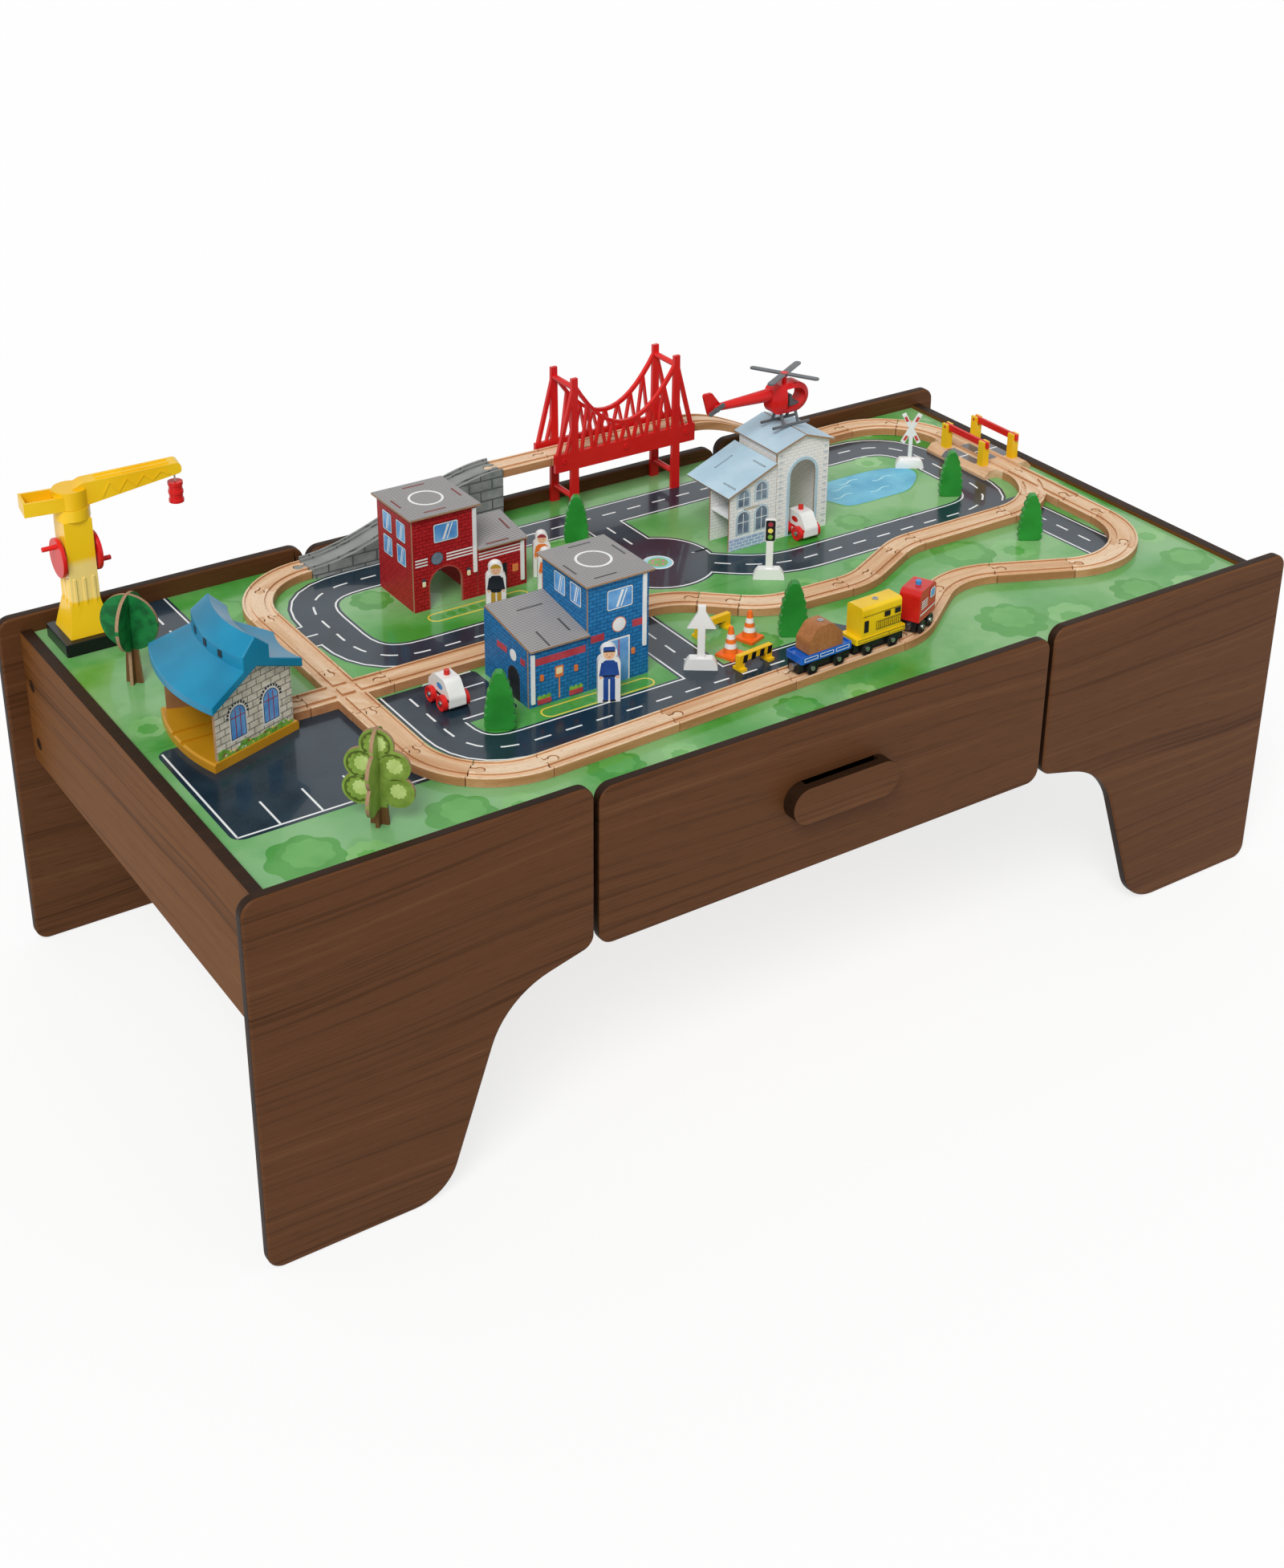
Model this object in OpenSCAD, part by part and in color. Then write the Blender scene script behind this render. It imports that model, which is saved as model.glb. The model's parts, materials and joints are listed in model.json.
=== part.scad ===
// Train table: a low play table with a drawer, and a wooden railway town on its board.
// X runs along the table, -Y is the drawer side, +Z is up and the floor is at zero.

/* [Table] */
// Length of the table over its leg panels
table_l = 1440; // [1200:10:1600]
// Depth of the table over its leg panels
table_w = 705; // [600:5:800]
// Height of the leg panels
table_h = 454; // [380:2:540]
// Thickness of the table's panels
panel_t = 15; // [12:1:20]
// Radius of the panels' outer corners
corner_r = 18; // [8:1:30]
// Width of a leg panel's foot
foot_w = 210; // [150:5:240]
// Radius of the arch above a leg
arch_r = 150; // [80:5:170]
// Radius where the arch runs out at the foot
foot_r = 56; // [30:2:70]
// Depth of the play board below the tops
board_drop = 24; // [16:1:40]
// Thickness of the play board
board_t = 9; // [6:1:15]
// Inset of the end panels from the leg panels' ends
end_inset = 26; // [15:1:40]
// Height of the end panels and dividers
end_panel_h = 173; // [150:1:200]
// Rise of an end panel above the board
end_lip = 5; // [2:1:10]
// Side of the square rails under the board
rail_w = 20; // [15:1:25]

/* [Drawer] */
// Width of the drawer's front
drawer_front_w = 634; // [500:2:700]
// Height of the drawer's front
drawer_front_h = 198; // [170:2:210]
// Depth of the drawer front's top below the legs' tops
drawer_drop = 7; // [3:1:12]
// Gap beside the drawer's front
drawer_gap = 6; // [3:1:9]
// Depth of the drawer's box
drawer_box_d = 420; // [300:5:500]
// Height of the drawer's box
drawer_box_h = 118; // [80:1:122]
// Thickness of the drawer's sides and back
drawer_side_t = 12; // [10:1:15]
// Thickness of the drawer's bottom
drawer_bottom_t = 4; // [3:0.5:6]
// Length of the drawer's handle
handle_l = 150; // [100:2:200]
// Height of the drawer's handle
handle_h = 46; // [30:1:60]
// How far the handle stands out
handle_out = 20; // [12:1:30]

/* [Track] */
// Width of the wooden track
track_w = 38; // [36:0.5:40]
// Thickness of the wooden track
track_t = 12; // [10:0.5:14]
// Distance between the wheel grooves' middles
gauge = 24; // [22:0.5:25]
// Width of a wheel groove
groove_w = 7; // [6.5:0.25:8]
// Depth of a wheel groove
groove_d = 3; // [2:0.25:4]
// Middle radius of the curved tracks
track_r = 103; // [95:1:108]
// Usual length of a straight track
straight_l = 144; // [100:2:160]
// Diameter of a connector's round head
peg_d = 11; // [9:0.5:12]
// Reach of a connector, to its head's middle
peg_reach = 11; // [9:0.5:13]

/* [Bridge and ramps] */
// Height of the raised track's underside
deck_h = 73; // [60:1:90]
// Length of the bridge
bridge_l = 223; // [200:1:240]
// Distance between the bridge's towers
tower_span = 162; // [140:1:175]
// Height of the bridge's towers
tower_h = 193; // [160:1:220]
// Width of a tower's leg
tower_w = 13; // [10:0.5:16]
// Thickness of a bridge side
bridge_side_t = 5; // [4:0.5:7]
// Length of the stone-faced ramp
stone_ramp_l = 276; // [250:1:300]
// Length of the track from ramp to bridge
landing_l = 76; // [60:1:90]
// Length of the wooden ramp
wooden_ramp_l = 230; // [200:1:240]

/* [Level crossing] */
// Width of the level crossing's side block
wing_w = 24; // [22:0.5:28]
// Height of the barrier posts
post_h = 36; // [28:1:44]
// How far a barrier arm passes its rest post
arm_over = 3; // [1:0.5:8]
// Height of a barrier arm
arm_h = 9; // [7:0.5:12]
// Thickness of a barrier arm
arm_t = 4; // [3:0.25:5]

/* [Crane] */
// Side of the crane's square base plate
crane_base_w = 70; // [60:1:76]
// Thickness of the base plate
crane_base_h = 17; // [12:1:22]
// Height of the tower above the base plate
crane_tower_h = 158; // [120:1:180]
// Width of the tower
crane_tower_w = 34; // [28:1:40]
// Reach of the boom, from the swivel to the cord
boom_reach = 122; // [100:1:135]
// Length of the boom's tail, from the swivel
boom_tail = 56; // [45:1:70]
// Diameter of the crank discs
crank_d = 48; // [36:1:56]
// Diameter of the hanging barrel
load_d = 18; // [14:0.5:22]
// Height of the barrel
load_h = 26; // [20:1:32]
// Length of the cord above the barrel
cord_l = 14; // [10:1:20]

/* [Engine shed] */
// Radius of the shed's outer edge
shed_r = 230; // [220:1:240]
// Length of the shed along the track
shed_l = 123; // [105:1:130]
// Angle between the shed's two walls
shed_angle = 37.6; // [34:0.2:40]
// Height of the shed's base
shed_base_h = 11; // [8:0.5:14]
// Height of the eaves above the board
shed_eaves_h = 76; // [68:1:90]
// Height of the roof's lantern above the board
shed_top_h = 142; // [130:1:160]

/* [Stations] */
// Thickness of the card walls and roofs
card_t = 2.6; // [2:0.1:3.5]
// Overhang of a card roof
roof_over = 5; // [3:0.5:8]
// Width of the fire station's tower
fire_w = 88; // [80:1:96]
// Depth of the fire station's tower
fire_d = 90; // [80:1:96]
// Height of the fire station's tower
fire_h = 124; // [100:1:140]
// Width of the fire station's wing
fire_wing_w = 70; // [60:1:76]
// Height of the fire station's wing
fire_wing_h = 64; // [50:1:75]
// Width of the police station's tower
police_w = 82; // [74:1:90]
// Depth of the police station
police_d = 98; // [86:1:104]
// Height of the police station's tower
police_h = 132; // [110:1:145]
// Width of the police station's wing
police_wing_w = 78; // [70:1:84]
// Height of the police station's wing
police_wing_h = 72; // [60:1:80]
// Width of the hospital's tower
hospital_w = 84; // [76:1:90]
// Depth of the hospital
hospital_d = 84; // [76:1:90]
// Height of the hospital's tower at its eaves
hospital_h = 124; // [110:1:135]
// Width of the hospital's wing
hospital_wing_w = 74; // [66:1:80]
// Height of the hospital's wing at its front
hospital_wing_h = 78; // [66:1:84]

/* [Helicopter] */
// Diameter of the main rotor
rotor_d = 96; // [80:1:110]
// Length of the helicopter's cabin
cabin_l = 58; // [48:1:64]
// Length of the helicopter's tail boom
tail_l = 86; // [76:1:96]

/* [Vehicles] */
// Diameter of the train's wheels
wheel_d = 17; // [15:0.25:19]
// Width of the train's wheels
wheel_w = 3.6; // [3:0.1:4]
// Length of the flat wagon and the engine
wagon_l = 76; // [70:1:78]
// Width of the wagons' bodies
wagon_w = 29; // [26:0.5:32]
// Diameter of the cars' wheels
car_wheel_d = 19; // [16:0.5:21]
// Length of a car
car_l = 50; // [44:1:56]
// Height of a car
car_h = 36; // [30:1:42]

/* [Scenery] */
// Height of the tallest fir tree
fir_h = 72; // [60:1:80]
// Thickness of the firs and the figures
flat_wood_t = 11; // [8:0.5:14]
// Height of the tallest figure
figure_h = 72; // [60:1:80]
// Height of the card trees
card_tree_h = 112; // [95:1:125]
// Height of the traffic signs
sign_h = 82; // [70:1:90]

/* [Hidden] */
$fn = 48;

// Finishes
walnut = [0.35, 0.22, 0.14];
beech = [0.87, 0.70, 0.52];
play_green = [0.36, 0.62, 0.30];
birch = [0.86, 0.76, 0.60];
toy_red = [0.80, 0.08, 0.07];
toy_yellow = [0.98, 0.78, 0.08];
toy_blue = [0.06, 0.55, 0.75];
toy_white = [0.95, 0.95, 0.94];
stone_grey = [0.55, 0.56, 0.56];
dark_plastic = [0.05, 0.05, 0.05];
steel = [0.70, 0.70, 0.72];
leaf_green = [0.12, 0.50, 0.20];
mustard = [0.82, 0.57, 0.10];

// The overrun of a cut, the gap between seated pieces, the radial gap of a running fit
over = 1;
seat_gap = 0.3;
run_gap = 0.05;
arc_steps = 10;
edge_share = 0.49;

// Places of the table's own planes
front_y = -table_w / 2;
rear_y = table_w / 2;
inner_front_y = front_y + panel_t;
inner_rear_y = rear_y - panel_t;
board_z = table_h - board_drop;
board_under_z = board_z - board_t;
end_top_z = board_z + end_lip;
end_low_z = end_top_z - end_panel_h;
end_outer_x = table_l / 2 - end_inset;
end_inner_x = end_outer_x - panel_t;
drawer_top_z = table_h - drawer_drop;
drawer_low_z = drawer_top_z - drawer_front_h;
leg_inner_x = drawer_front_w / 2 + drawer_gap;
leg_w = table_l / 2 - leg_inner_x;
divider_outer_x = leg_inner_x + panel_t;
rail_low_z = board_under_z - rail_w;

// Leg outline: the knee where the arch turns, and the height of the inner corner
knee_w_share = 0.725;
knee_h_share = 0.5;
leg_inner_low_z = drawer_low_z + drawer_gap;
leg_corners = [
  [0, 0], [foot_w, 0], [leg_w * knee_w_share, table_h * knee_h_share], [leg_w, leg_inner_low_z],
  [leg_w, table_h], [0, table_h]
];
leg_radii = [corner_r, foot_r, arch_r, corner_r, corner_r, corner_r];

// Outline rounding: each corner becomes an arc that is kept within its two edges
function unit(v) = v / norm(v);
function side_of(a, b) = a.x * b.y - a.y * b.x < 0 ? -1 : 1;
function rounded_corner(before, here, after, r) =
  let (
    a = unit(before - here),
    b = unit(after - here),
    half = acos(a * b) / 2,
    room = edge_share * min(norm(before - here), norm(after - here)),
    reach = min(r / tan(half), room),
    radius = reach * tan(half),
    centre = here + unit(a + b) * radius / sin(half),
    first = here + a * reach - centre,
    from = atan2(first.y, first.x),
    sweep = side_of(-a, b) * (180 - 2 * half)
  )
  r == 0 ? [here]
  : [for (i = [0:arc_steps]) centre + radius * [
      cos(from + sweep * i / arc_steps), sin(from + sweep * i / arc_steps)
    ]];
function rounded(points, radii) =
  let (n = len(points))
  [for (i = [0:n - 1]) each rounded_corner(
    points[(i + n - 1) % n], points[i], points[(i + 1) % n], radii[i])];
function same(value, n) = [for (i = [1:n]) value];
function box_corners(w, h) = [[0, 0], [w, 0], [w, h], [0, h]];

// The middle of the part's box is on the origin
module placed() translate([0, handle_out / 2, 0]) children();

// A flat outline in X and Z, given its thickness along +Y
module upright(t) translate([0, t, 0]) rotate([90, 0, 0]) linear_extrude(t) children();

// A bar of one width between two points of a flat drawing
module flat_bar(a, b, w) {
  translate(a) rotate(atan2(b.y - a.y, b.x - a.x)) translate([0, -w / 2]) square([norm(b - a), w]);
}

// Table panels

cam_d = 15;
cam_depth = 12;
cam_inset = 22;
cam_slack = 0.1;
dowel_d = 7;
dowel_seat = 10;
cam_z_shares = [0.17, 0.63];
cam_rows = [for (s = cam_z_shares) end_low_z + end_panel_h * s];

module leg_panel(side, y) {
  difference() {
    translate([side * table_l / 2, y, 0]) mirror([side > 0 ? 1 : 0, 0, 0]) upright(panel_t)
          polygon(rounded(leg_corners, leg_radii));
    for (x = [end_outer_x - panel_t / 2, leg_inner_x + panel_t / 2], z = cam_rows)
      dowel_at(side * x, y > 0 ? 1 : -1, z, dowel_d + 2 * cam_slack, cam_slack);
  }
}

// A dowel joins a cross panel to a leg panel; the side is front or rear
module dowel_at(x, side, z, d, extra) {
  translate([x, side * (table_w / 2 - panel_t + dowel_seat + extra), z]) rotate([side * 90, 0, 0])
      cylinder(d = d, h = dowel_seat + cam_inset + extra);
}

module cam_at(x, out, side, z, d, depth) {
  translate([x, side * (table_w / 2 - panel_t - cam_inset), z]) rotate([0, -out * 90, 0])
      cylinder(d = d, h = depth);
}

// A panel from front to rear, with bores for its cams and dowels outside
module cross_panel(side, outer_x, low_z, top_z) {
  difference() {
    translate([side * (outer_x - panel_t / 2) - panel_t / 2, inner_front_y, low_z])
      cube([panel_t, table_w - 2 * panel_t, top_z - low_z]);
    for (y_side = [-1, 1], z = cam_rows) {
      translate([side * over, 0, 0])
        cam_at(side * outer_x, side, y_side, z, cam_d + 2 * cam_slack, cam_depth + over);
      dowel_at(side * (outer_x - panel_t / 2), y_side, z, dowel_d + 2 * cam_slack, cam_slack);
    }
  }
}

module front_left_leg_panel() color(walnut) placed() leg_panel(-1, front_y);

module front_right_leg_panel() color(walnut) placed() leg_panel(1, front_y);

module rear_left_leg_panel() color(walnut) placed() leg_panel(-1, inner_rear_y);

module rear_right_leg_panel() color(walnut) placed() leg_panel(1, inner_rear_y);

module front_shape() {
  translate([-drawer_front_w / 2, drawer_low_z])
    polygon(rounded(box_corners(drawer_front_w, drawer_front_h), same(corner_r, 4)));
}

module rear_centre_panel() color(walnut) placed() translate([0, inner_rear_y, 0]) upright(panel_t) front_shape();

module left_end_panel() color(walnut) placed() cross_panel(-1, end_outer_x, end_low_z, end_top_z);

module right_end_panel() color(walnut) placed() cross_panel(1, end_outer_x, end_low_z, end_top_z);

module dividers() {
  color(walnut) placed()
    for (side = [-1, 1])
      cross_panel(side, divider_outer_x, end_low_z, board_under_z);
}

// Each cam is a slotted disc with a cross, round the head of its dowel
module panel_fittings() {
  slot_w = cam_d / 8;
  slot_l = cam_d / 2;
  slot_d = cam_depth / 6;
  color(steel) placed()
    for (side = [-1, 1], outer_x = [end_outer_x, divider_outer_x], y_side = [-1, 1], z = cam_rows) {
      x = side * (outer_x - panel_t / 2);
      difference() {
        union() {
          cam_at(side * outer_x, side, y_side, z, cam_d, cam_depth);
          dowel_at(x, y_side, z, dowel_d, 0);
        }
        translate([side * outer_x, y_side * (table_w / 2 - panel_t - cam_inset), z])
          for (turn = [0, 90])
            rotate([turn, 0, 0]) cube([2 * slot_d, slot_w, slot_l], center = true);
      }
    }
}

// The play board: two halves that meet at a seam along the table's middle
module half_board(low_y, high_y) {
  translate([-end_inner_x + seat_gap, low_y + seat_gap, board_under_z])
    cube([2 * (end_inner_x - seat_gap), high_y - low_y - 2 * seat_gap, board_t]);
}

module front_board() color(play_green) placed() half_board(inner_front_y, 0);

module rear_board() color(play_green) placed() half_board(0, inner_rear_y);

module rail(x0, x1, y0) {
  translate([x0, y0, rail_low_z]) cube([x1 - x0, rail_w, rail_w]);
}

module board_rails() {
  color(birch) placed() {
    for (y = [inner_front_y, -rail_w / 2, inner_rear_y - rail_w]) {
      rail(-end_inner_x, -divider_outer_x, y);
      rail(divider_outer_x, end_inner_x, y);
    }
    rail(-leg_inner_x, leg_inner_x, -rail_w / 2);
    rail(-leg_inner_x, leg_inner_x, inner_rear_y - rail_w);
  }
}

// Drawer: its sides have a groove that slides on a strip on each divider

runner_h = 14;
runner_depth = 14;
runner_in_side = 6;
box_clear = runner_depth - runner_in_side;
drawer_box_low_z = end_low_z;
box_half_w = leg_inner_x - box_clear;
runner_z = drawer_box_low_z + drawer_box_h / 2;
bottom_rise = 6;
groove_slack = 0.3;

module drawer_front() color(walnut) placed() translate([0, front_y, 0]) upright(panel_t) front_shape();

module drawer_box() {
  bottom_cut = [2 * (box_half_w - drawer_side_t / 2), drawer_box_d, drawer_bottom_t + 2 * groove_slack];
  color(birch) placed()
    difference() {
      union() {
        for (side = [-1, 1])
          translate([side * (box_half_w - drawer_side_t / 2) - drawer_side_t / 2, inner_front_y, drawer_box_low_z])
            cube([drawer_side_t, drawer_box_d, drawer_box_h]);
        translate([-box_half_w + drawer_side_t + seat_gap, inner_front_y + drawer_box_d - drawer_side_t,
            drawer_box_low_z])
          cube([2 * (box_half_w - drawer_side_t - seat_gap), drawer_side_t, drawer_box_h]);
      }
      for (side = [-1, 1])
        translate([side * (box_half_w + over) - runner_in_side - over - groove_slack, inner_front_y - over,
            runner_z - groove_slack])
          cube([2 * (runner_in_side + over + groove_slack), drawer_box_d + 2 * over, runner_h + 2 * groove_slack]);
      translate([-bottom_cut.x / 2, inner_front_y - over, drawer_box_low_z + bottom_rise - groove_slack])
        cube([bottom_cut.x, bottom_cut.y - drawer_side_t / 2 + over, bottom_cut.z]);
    }
}

module drawer_bottom() {
  half_w = box_half_w - drawer_side_t / 2 - groove_slack;
  color(birch) placed() translate([-half_w, inner_front_y, drawer_box_low_z + bottom_rise])
      cube([2 * half_w, drawer_box_d - drawer_side_t / 2 - groove_slack, drawer_bottom_t]);
}

module drawer_runners() {
  color(birch) placed()
    for (side = [-1, 1])
      translate([side * (leg_inner_x - runner_depth / 2) - runner_depth / 2, inner_front_y + runner_h, runner_z])
        cube([runner_depth, drawer_box_d - 2 * runner_h, runner_h]);
}

// The handle is an oblong block with a finger groove along its top and its bottom
module drawer_handle() {
  groove_share = 0.45;
  finger_t = handle_out * groove_share;
  finger_l = handle_l - handle_h;
  mid_z = drawer_low_z + drawer_front_h / 2;
  color(walnut) placed()
    difference() {
      translate([-handle_l / 2, front_y - handle_out, mid_z - handle_h / 2])
        upright(handle_out) polygon(rounded(box_corners(handle_l, handle_h), same(handle_h, 4)));
      for (side = [-1, 1])
        translate([-finger_l / 2, front_y - finger_t, mid_z + side * handle_h / 2 - finger_t])
          cube([finger_l, finger_t + over, 2 * finger_t]);
    }
}

// Track layout: corner points as shares of the table, rounded. Lengths follow the table's length
laid_out_l = 1440;
fit = table_l / laid_out_l;
bend_r = track_r * fit;
span_l = bridge_l * fit;
towers_l = tower_span * fit;
stone_l = stone_ramp_l * fit;
wood_l = wooden_ramp_l * fit;
pier_l = landing_l * fit;

function spot(share) = [share.x * table_l, share.y * table_w];
function heading(a, b) = atan2(b.y - a.y, b.x - a.x);
function half_turn(angle) = angle > 180 ? angle - 360 : angle < -180 ? angle + 360 : angle;
function turn_at(path, i) = half_turn(heading(path[i], path[i + 1]) - heading(path[i - 1], path[i]));
function reach_at(path, i) = bend_r * tan(abs(turn_at(path, i)) / 2);
function entry_of(path, i) = path[i] + unit(path[i - 1] - path[i]) * reach_at(path, i);
function exit_of(path, i) = path[i] + unit(path[i + 1] - path[i]) * reach_at(path, i);
function between(a, b, share) = a + (b - a) * share;

left_x_share = -0.3035;
wing_clear = 3.84;
right_x = end_inner_x - track_w / 2 - wing_w - wing_clear;
right_lean = 4.3;
right_low_share = -0.386;
loop_shares = [[left_x_share, -0.380], [0.138, -0.343], [0.234, -0.203]];
bridge_gap = 4;
bridge_inner_w = track_w + 2 * bridge_gap;
rear_margin = bridge_inner_w / 2 + bridge_side_t + 5 * seat_gap;
rear_track_y = inner_rear_y - rear_margin;
corners = [
  [left_x_share * table_l, rear_track_y], each [for (s = loop_shares) spot(s)],
  [right_x - right_lean, right_low_share * table_w], [right_x, rear_track_y]
];
loop = [corners[5], each corners, corners[0]];
crossing_share = 0.549;
turnout_share = 0.397;
crossing_point = between(corners[0], corners[1], crossing_share);
turnout_point = between(corners[4], corners[5], turnout_share);
bend_shares = [[0.240, -0.060], [0.163, -0.139], [0.066, -0.131], [0, 0]];
bends = [for (s = bend_shares) spot(s)];
spur_l = 78;
spur_end = crossing_point - [spur_l * fit, 0];
branch = [
  corners[5], turnout_point, bends[0], bends[1], bends[2], [bends[3].x, crossing_point.y], spur_end
];
arm_l = 52;
crossing_arm = arm_l * fit;
block_l = 112;
turnout_l = block_l * fit;
way_clear = 5.58;
turnout_turn = acos((bend_r - track_w / 2 - way_clear) / (bend_r + track_w / 2));
way_inset = 1.2;
way_skip = 7;

// Track section and connectors
joint_gap = 0.4;
track_chamfer = 1;
peg_neck = 6;
peg_slack = 0.5;
peg_root = 3;

module plain_section() {
  half = track_w / 2;
  side_h = track_t - track_chamfer;
  polygon([
    [-half, 0], [half, 0], [half, side_h], [half - track_chamfer, track_t], [track_chamfer - half, track_t],
    [-half, side_h]
  ]);
}

module groove_section() {
  for (side = [-1, 1])
    translate([side * gauge / 2 - groove_w / 2, track_t - groove_d])
      square([groove_w, groove_d + over]);
}

module peg_shape(slack) {
  translate([-peg_root, -peg_neck / 2 - slack])
    square([peg_root + peg_reach, peg_neck + 2 * slack]);
  translate([peg_reach, 0]) circle(d = peg_d + 2 * slack);
}

module peg() {
  linear_extrude(track_t - track_chamfer) peg_shape(0);
}

module slot() {
  translate([0, 0, -over]) linear_extrude(track_t + 2 * over) peg_shape(peg_slack);
}

module along(length, trim) {
  translate([trim, 0, 0]) rotate([90, 0, 90]) linear_extrude(length - 2 * trim) children();
}

// Bends are drawn turning left and mirrored for a right-hand bend
module bend(turn, trim) {
  trim_angle = trim / bend_r * 180 / PI;
  mirror([0, turn < 0 ? 1 : 0, 0]) translate([0, bend_r, 0]) rotate([0, 0, trim_angle - 90])
    rotate_extrude(angle = abs(turn) - 2 * trim_angle) translate([bend_r, 0]) children();
}

module bend_end(turn) {
  side = turn < 0 ? -1 : 1;
  translate([bend_r * sin(abs(turn)), side * bend_r * (1 - cos(turn)), 0]) rotate([0, 0, turn])
      children();
}

module straight_track(length) {
  difference() {
    union() {
      along(length, joint_gap / 2) plain_section();
      translate([length, 0, 0]) peg();
    }
    along(length, -over) groove_section();
    slot();
  }
}

module curved_track(turn) {
  difference() {
    union() {
      bend(turn, joint_gap / 2) plain_section();
      bend_end(turn) peg();
    }
    bend(turn, -over) groove_section();
    slot();
  }
}

module at_point(p, angle) translate([p.x, p.y, board_z]) rotate([0, 0, angle]) children();

// A straight stretch is divided into equal tracks
module straight_run(a, b) {
  count = max(1, round(norm(b - a) / straight_l));
  for (i = [0:count - 1])
    at_point(between(a, b, i / count), heading(a, b)) straight_track(norm(b - a) / count);
}

function before_crossing(from) = crossing_point - unit(crossing_point - from) * crossing_arm;
function past_crossing(from) = crossing_point + unit(crossing_point - from) * crossing_arm;

// Rear stretch, right to left: short track, wooden ramp, bridge, landing, stone ramp
rear_turn = heading(corners[5], corners[0]);
rear_step = unit(corners[0] - corners[5]);
stone_ramp_end = entry_of(loop, 1);
stone_ramp_top = stone_ramp_end - rear_step * stone_l;
landing_start = stone_ramp_top - rear_step * pier_l;
bridge_start = landing_start - rear_step * span_l;
wooden_ramp_start = bridge_start - rear_step * wood_l;
turnout_root = entry_of(branch, 1);
turnout_end = turnout_root + unit(corners[4] - corners[5]) * turnout_l;

module straight_tracks() {
  color(beech) placed() {
    straight_run(exit_of(loop, 1), before_crossing(corners[0]));
    straight_run(past_crossing(corners[0]), entry_of(loop, 2));
    for (i = [2:4])
      straight_run(exit_of(loop, i), entry_of(loop, i + 1));
    straight_run(exit_of(loop, 5), turnout_end);
    straight_run(exit_of(loop, 6), wooden_ramp_start);
    for (i = [1:4])
      straight_run(exit_of(branch, i), entry_of(branch, i + 1));
    straight_run(exit_of(branch, 5), before_crossing(branch[5]));
    straight_run(past_crossing(branch[5]), spur_end);
    translate([0, 0, deck_h]) {
      straight_run(bridge_start, landing_start);
      straight_run(landing_start, stone_ramp_top);
    }
  }
}

// A bend of more than the usual curve's angle takes two curved tracks
usual_turn = 60;

module bend_run(path, i, skip = 0) {
  turn = turn_at(path, i) * (1 - skip);
  count = ceil(abs(turn) / usual_turn);
  at_point(entry_of(path, i), heading(path[i - 1], path[i])) bend_end(turn_at(path, i) * skip)
      for (k = [0:count - 1])
        bend_end(turn * k / count) curved_track(turn / count);
}

module curved_tracks() {
  color(beech) placed() {
    for (i = [1:6])
      bend_run(loop, i);
    bend_run(branch, 1, turnout_turn / abs(turn_at(branch, 1)));
    for (i = [2:5])
      bend_run(branch, i);
  }
}

// Turnout: both ways share a block, the curved one narrower inside
module ways(middle, w, reach) {
  inner = bend_r - middle - w / 2 + way_inset;
  outer = bend_r - middle + w / 2;
  translate([-reach, middle - w / 2]) square([turnout_l + 2 * reach, w]);
  translate([0, bend_r]) intersection() {
    difference() {
      circle(r = outer);
      circle(r = inner);
    }
    polygon([[0, 0], for (a = [way_skip, turnout_turn + reach]) 2 * outer * [sin(a), -cos(a)]]);
  }
}

module turnout() {
  side = turn_at(branch, 1) < 0 ? 1 : 0;
  difference() {
    union() {
      linear_extrude(track_t) mirror([0, side]) ways(0, track_w, -joint_gap / 2);
      bend_end(turnout_turn * (1 - 2 * side)) peg();
    }
    translate([0, 0, track_t - groove_d]) linear_extrude(groove_d + over) mirror([0, side])
      for (m = [-gauge, gauge])
        ways(m / 2, groove_w, over);
    slot();
    translate([turnout_l, 0, 0]) rotate([0, 0, 180]) slot();
  }
}

module crossing() {
  difference() {
    union() {
      for (turn = [0, 90])
        rotate([0, 0, turn]) translate([-crossing_arm, 0, 0]) along(2 * crossing_arm, joint_gap / 2)
              plain_section();
      for (turn = [180, 270])
        rotate([0, 0, turn]) translate([crossing_arm, 0, 0]) peg();
    }
    for (turn = [0, 90])
      rotate([0, 0, turn]) translate([-crossing_arm, 0, 0]) along(2 * crossing_arm, -over)
            groove_section();
    for (turn = [180, 270])
      rotate([0, 0, turn]) translate([-crossing_arm, 0, 0]) slot();
  }
}

module junction_tracks() {
  color(beech) placed() {
    at_point(turnout_root, heading(corners[5], corners[4])) turnout();
    at_point(crossing_point, 0) crossing();
  }
}

// Level crossing: a straight track with a sloping block on each side for the road

level_l = norm(entry_of(loop, 6) - turnout_root);
level_turn = heading(corners[4], corners[5]);
pad_share = 0.42;
wing_share = 0.86;
wing_l = level_l * wing_share;
pad_l = level_l * pad_share;
wing_edge_share = 0.35;
pad_rise = 0.8;
post_w = 11;
post_place_share = 0.27;
post_sink = 4;
arm_pivot_z = post_h - arm_h / 2;
pivot_d = 4;
cheek_t = 3;

module level_wing() {
  polygon([
    [track_w / 2, 0], [track_w / 2 + wing_w, 0], [track_w / 2 + wing_w, track_t * wing_edge_share],
    [track_w / 2 + wing_w * (1 - wing_edge_share), track_t], [track_w / 2, track_t]
  ]);
}

module post_bases(slack) {
  for (side = [-1, 1], end = [-1, 1])
    translate([end * level_l * post_place_share, side * (track_w / 2 + wing_w / 3), track_t - post_sink])
      cylinder(d = post_w - 2 * cheek_t + 2 * slack, h = post_sink + over);
}

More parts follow.
